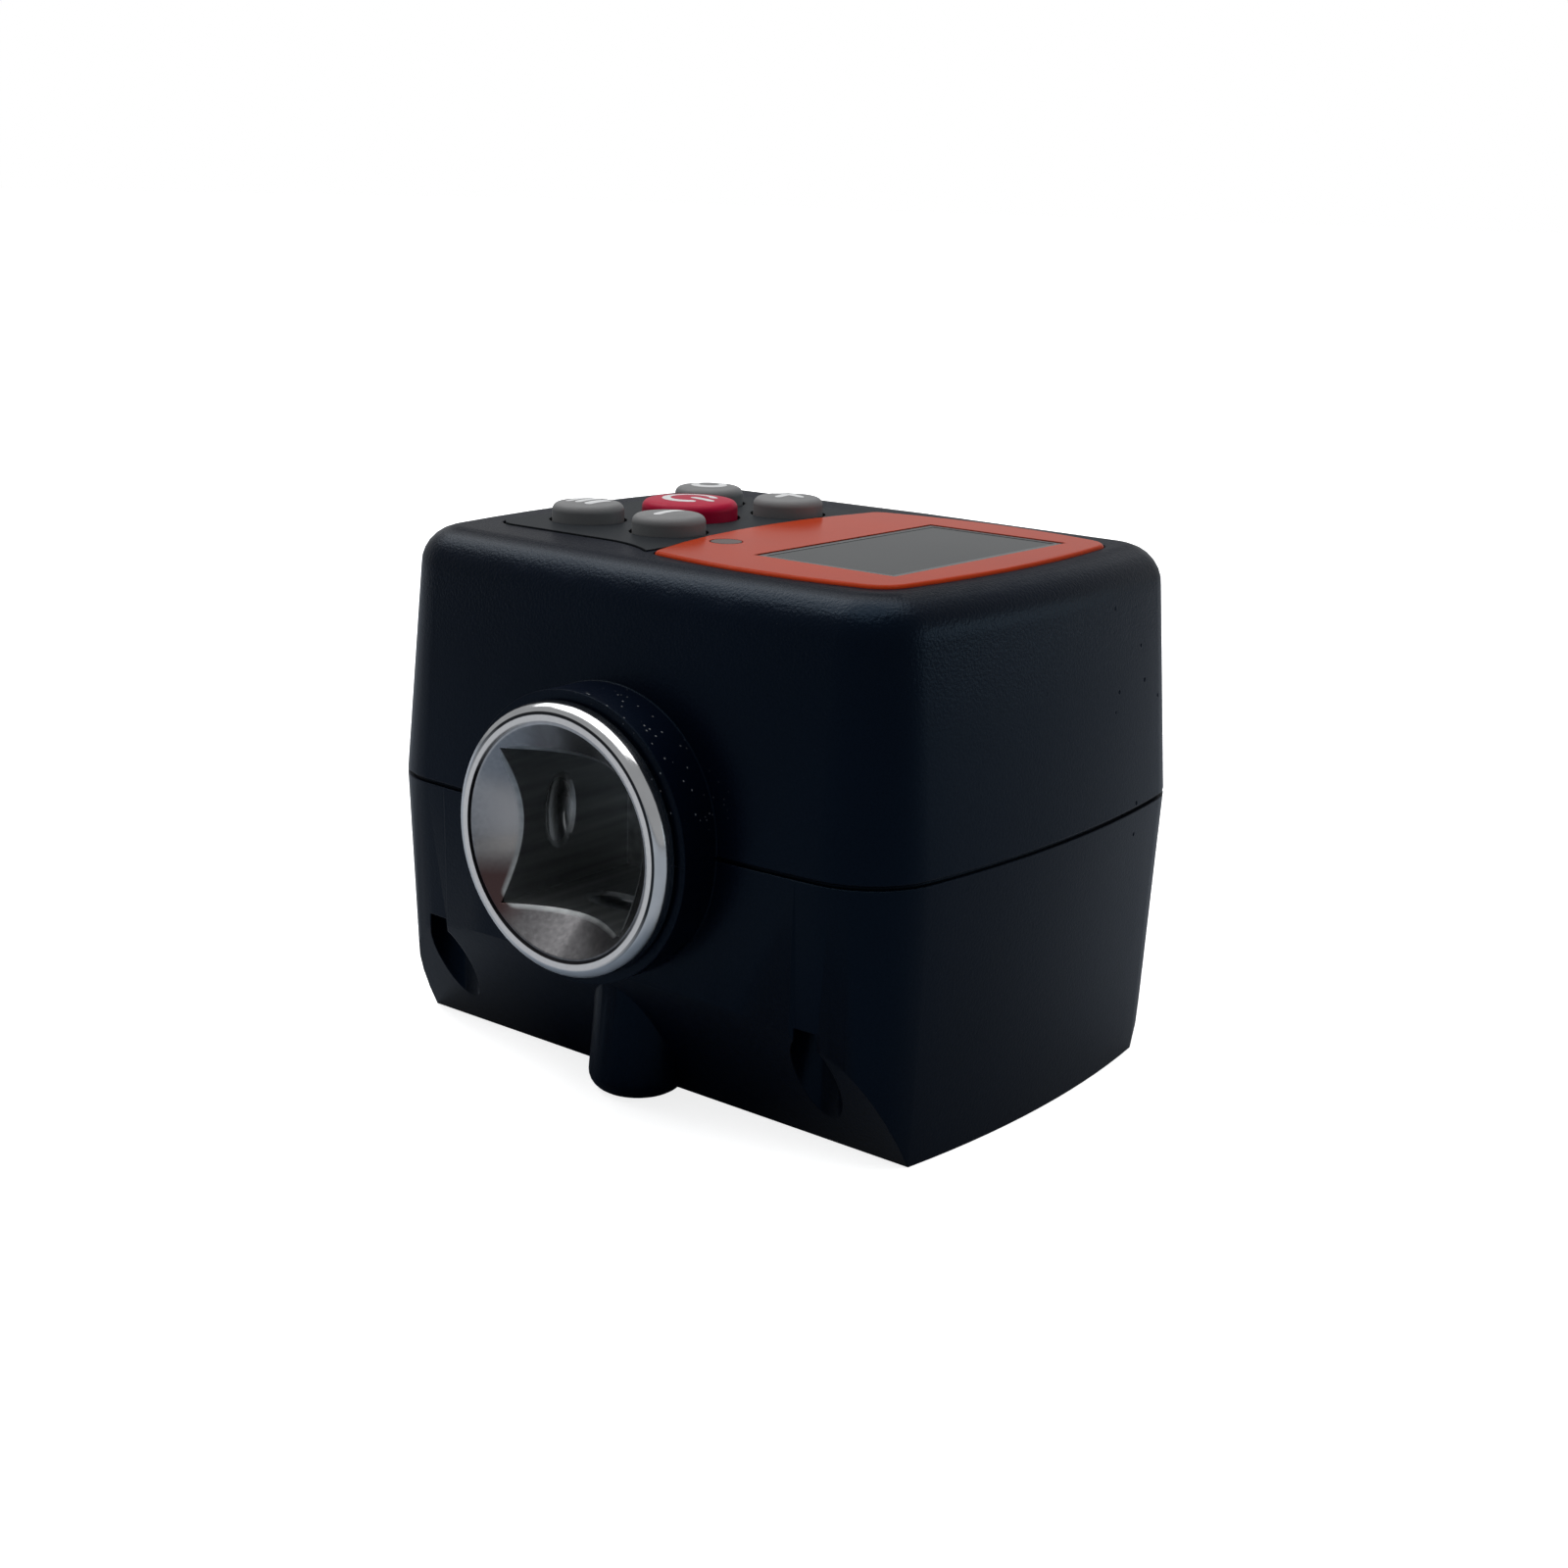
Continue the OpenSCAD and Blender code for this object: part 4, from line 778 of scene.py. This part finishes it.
class TM_OT_stage(bpy.types.Operator):
    """Set the floor, the lights and the camera"""

    bl_idname = "torque_meter.stage"
    bl_label = "Stage"

    def execute(self, context):
        scene = context.scene
        st = scene.torque_meter
        self.lay_floor(st)
        self.light_world(scene, st)
        self.add_light(scene, "back_panel", (-0.6, 0.85, 0.3), (1.2, 0.6), 0.35)
        self.add_light(scene, "top_panel", (-0.1, 0.05, 0.6), (0.8, 0.8), 4.6)
        self.add_light(scene, "left_panel", (-0.62, 0.1, 0.62), (0.5, 0.4), 1.1)
        self.add_light(scene, "right_panel", (0.7, 0.6, -0.02), (0.6, 0.5), 1.3, (0.72, 0.9, 1.0))
        self.place_camera(scene)
        scene.view_settings.view_transform = "Standard"
        return {"FINISHED"}

    def lay_floor(self, st):
        """A white floor under the foot. Its glow is a little less near the part, a painted shadow, and its
        reflections are darker right beside it, painted shade; it is clear from below."""
        mat, tree, out = material("Floor")
        far = added(tree, "VectorMath", {0: place_of(tree)}, operation="LENGTH").outputs["Value"]
        # Weaker glow near the part: a painted shadow
        strength = mixed(tree, mapped(tree, far, *GLOW_RISE), GLOW_SHARE, 1.0)
        glow = added(tree, "Emission", {"Strength": strength})
        pale = added(tree, "BsdfDiffuse", {"Color": (0.8, 0.8, 0.8)})
        seen = added(tree, "AddShader", {0: pale.outputs[0], 1: glow.outputs[0]})
        unseen = added(tree, "BsdfDiffuse", {"Color": tuple(st.floor_return)})
        # Reflections of the floor fade out beside the part: painted shade
        ray = background_ray(tree, st.floor_gloss, mapped(tree, far, *SHADE_END))
        above = added(tree, "MixShader", {0: ray, 1: unseen.outputs[0], 2: seen.outputs[0]})
        clear = added(tree, "BsdfTransparent")
        below = added(tree, "NewGeometry").outputs["Backfacing"]
        sided = added(tree, "MixShader", {0: below, 1: above.outputs[0], 2: clear.outputs[0]})
        feed(tree, out.inputs["Surface"], sided.outputs[0])
        s, z = FLOOR_HALF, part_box("lower_case")[0][2] - FLOOR_GAP
        floor = mesh_object("floor", [(-s, -s, z), (s, -s, z), (s, s, z), (-s, s, z)], [(0, 1, 2, 3)], mat)

    def light_world(self, scene, st):
        """A white backdrop that lights the part only a little."""
        scene.world = bpy.data.worlds.new("Studio")
        scene.world.use_nodes = True
        tree = scene.world.node_tree
        tree.nodes.clear()
        seen = added(tree, "Background", {"Color": (1, 1, 1)})
        fill = added(tree, "Background", {"Color": (0.8, 0.9, 1.0), "Strength": st.fill})
        mix = added(tree, "MixShader", {0: background_ray(tree, st.sky_gloss), 1: fill.outputs[0],
                                        2: seen.outputs[0]})
        added(tree, "OutputWorld", {"Surface": mix.outputs[0]})

    def add_light(self, scene, name, at, size, watts, tone=(1, 1, 1)):
        """A rectangular light that points at the part."""
        data = bpy.data.lights.new(name, "AREA")
        data.color = tone
        data.shape = "RECTANGLE"
        data.size, data.size_y = size
        data.energy = watts
        ob = bpy.data.objects.new(name, data)
        ob.location = at
        ob.rotation_euler = (Vector(LIGHT_AIM) - Vector(at)).to_track_quat("-Z", "Y").to_euler()
        scene.collection.objects.link(ob)

    def place_camera(self, scene):
        """The photograph's camera."""
        az, el, roll = (math.radians(v) for v in (AZIMUTH, ELEVATION, ROLL))
        back = Vector((math.sin(az) * math.cos(el), -math.cos(az) * math.cos(el), math.sin(el)))
        level = Vector((math.cos(az), math.sin(az), 0))
        upright = back.cross(level)
        right = level * math.cos(roll) + upright * math.sin(roll)
        up = -level * math.sin(roll) + upright * math.cos(roll)
        matrix = Matrix((right, up, back)).transposed().to_4x4()
        matrix.translation = ((back * DISTANCE + right * SHIFT_RIGHT + up * SHIFT_UP) * MM
                              + Vector((0, CASE_MIDDLE, 0)))
        cam = bpy.data.cameras.new("Camera")
        cam.lens = FOCAL_LENGTH
        cam.sensor_width = SENSOR_WIDTH
        cam.clip_start = 0.01
        cam.clip_end = 50
        ob = bpy.data.objects.new("Camera", cam)
        ob.matrix_world = matrix
        scene.collection.objects.link(ob)
        scene.camera = ob


class TM_PT_panel(bpy.types.Panel):
    """Sidebar panel with the meter's settings and operators"""

    bl_idname = "TM_PT_panel"
    bl_label = "Torque Meter"
    bl_space_type = "VIEW_3D"
    bl_region_type = "UI"
    bl_category = "Torque Meter"

    def draw(self, context):
        st = context.scene.torque_meter
        for name in ("mark_width", "mark_rise", "border", "floor_return", "fill", "floor_gloss", "sky_gloss",
                     "smooth_angle"):
            self.layout.prop(st, name)
        for op in OPERATORS:
            self.layout.operator(op.bl_idname)


OPERATORS = (TM_OT_finish_solids, TM_OT_key_marks, TM_OT_window_print, TM_OT_cell_fittings,
             TM_OT_board_fittings, TM_OT_stage)
CLASSES = (TorqueMeterSettings, *OPERATORS, TM_PT_panel)


def register():
    for c in CLASSES:
        bpy.utils.register_class(c)
    bpy.types.Scene.torque_meter = bpy.props.PointerProperty(type=TorqueMeterSettings)


def unregister():
    del bpy.types.Scene.torque_meter
    for c in reversed(CLASSES):
        bpy.utils.unregister_class(c)


def main():
    register()
    bpy.ops.torque_meter.finish_solids()
    bpy.ops.torque_meter.key_marks()
    bpy.ops.torque_meter.window_print()
    bpy.ops.torque_meter.cell_fittings()
    bpy.ops.torque_meter.board_fittings()
    bpy.ops.torque_meter.stage()


if __name__ == "__main__":
    main()
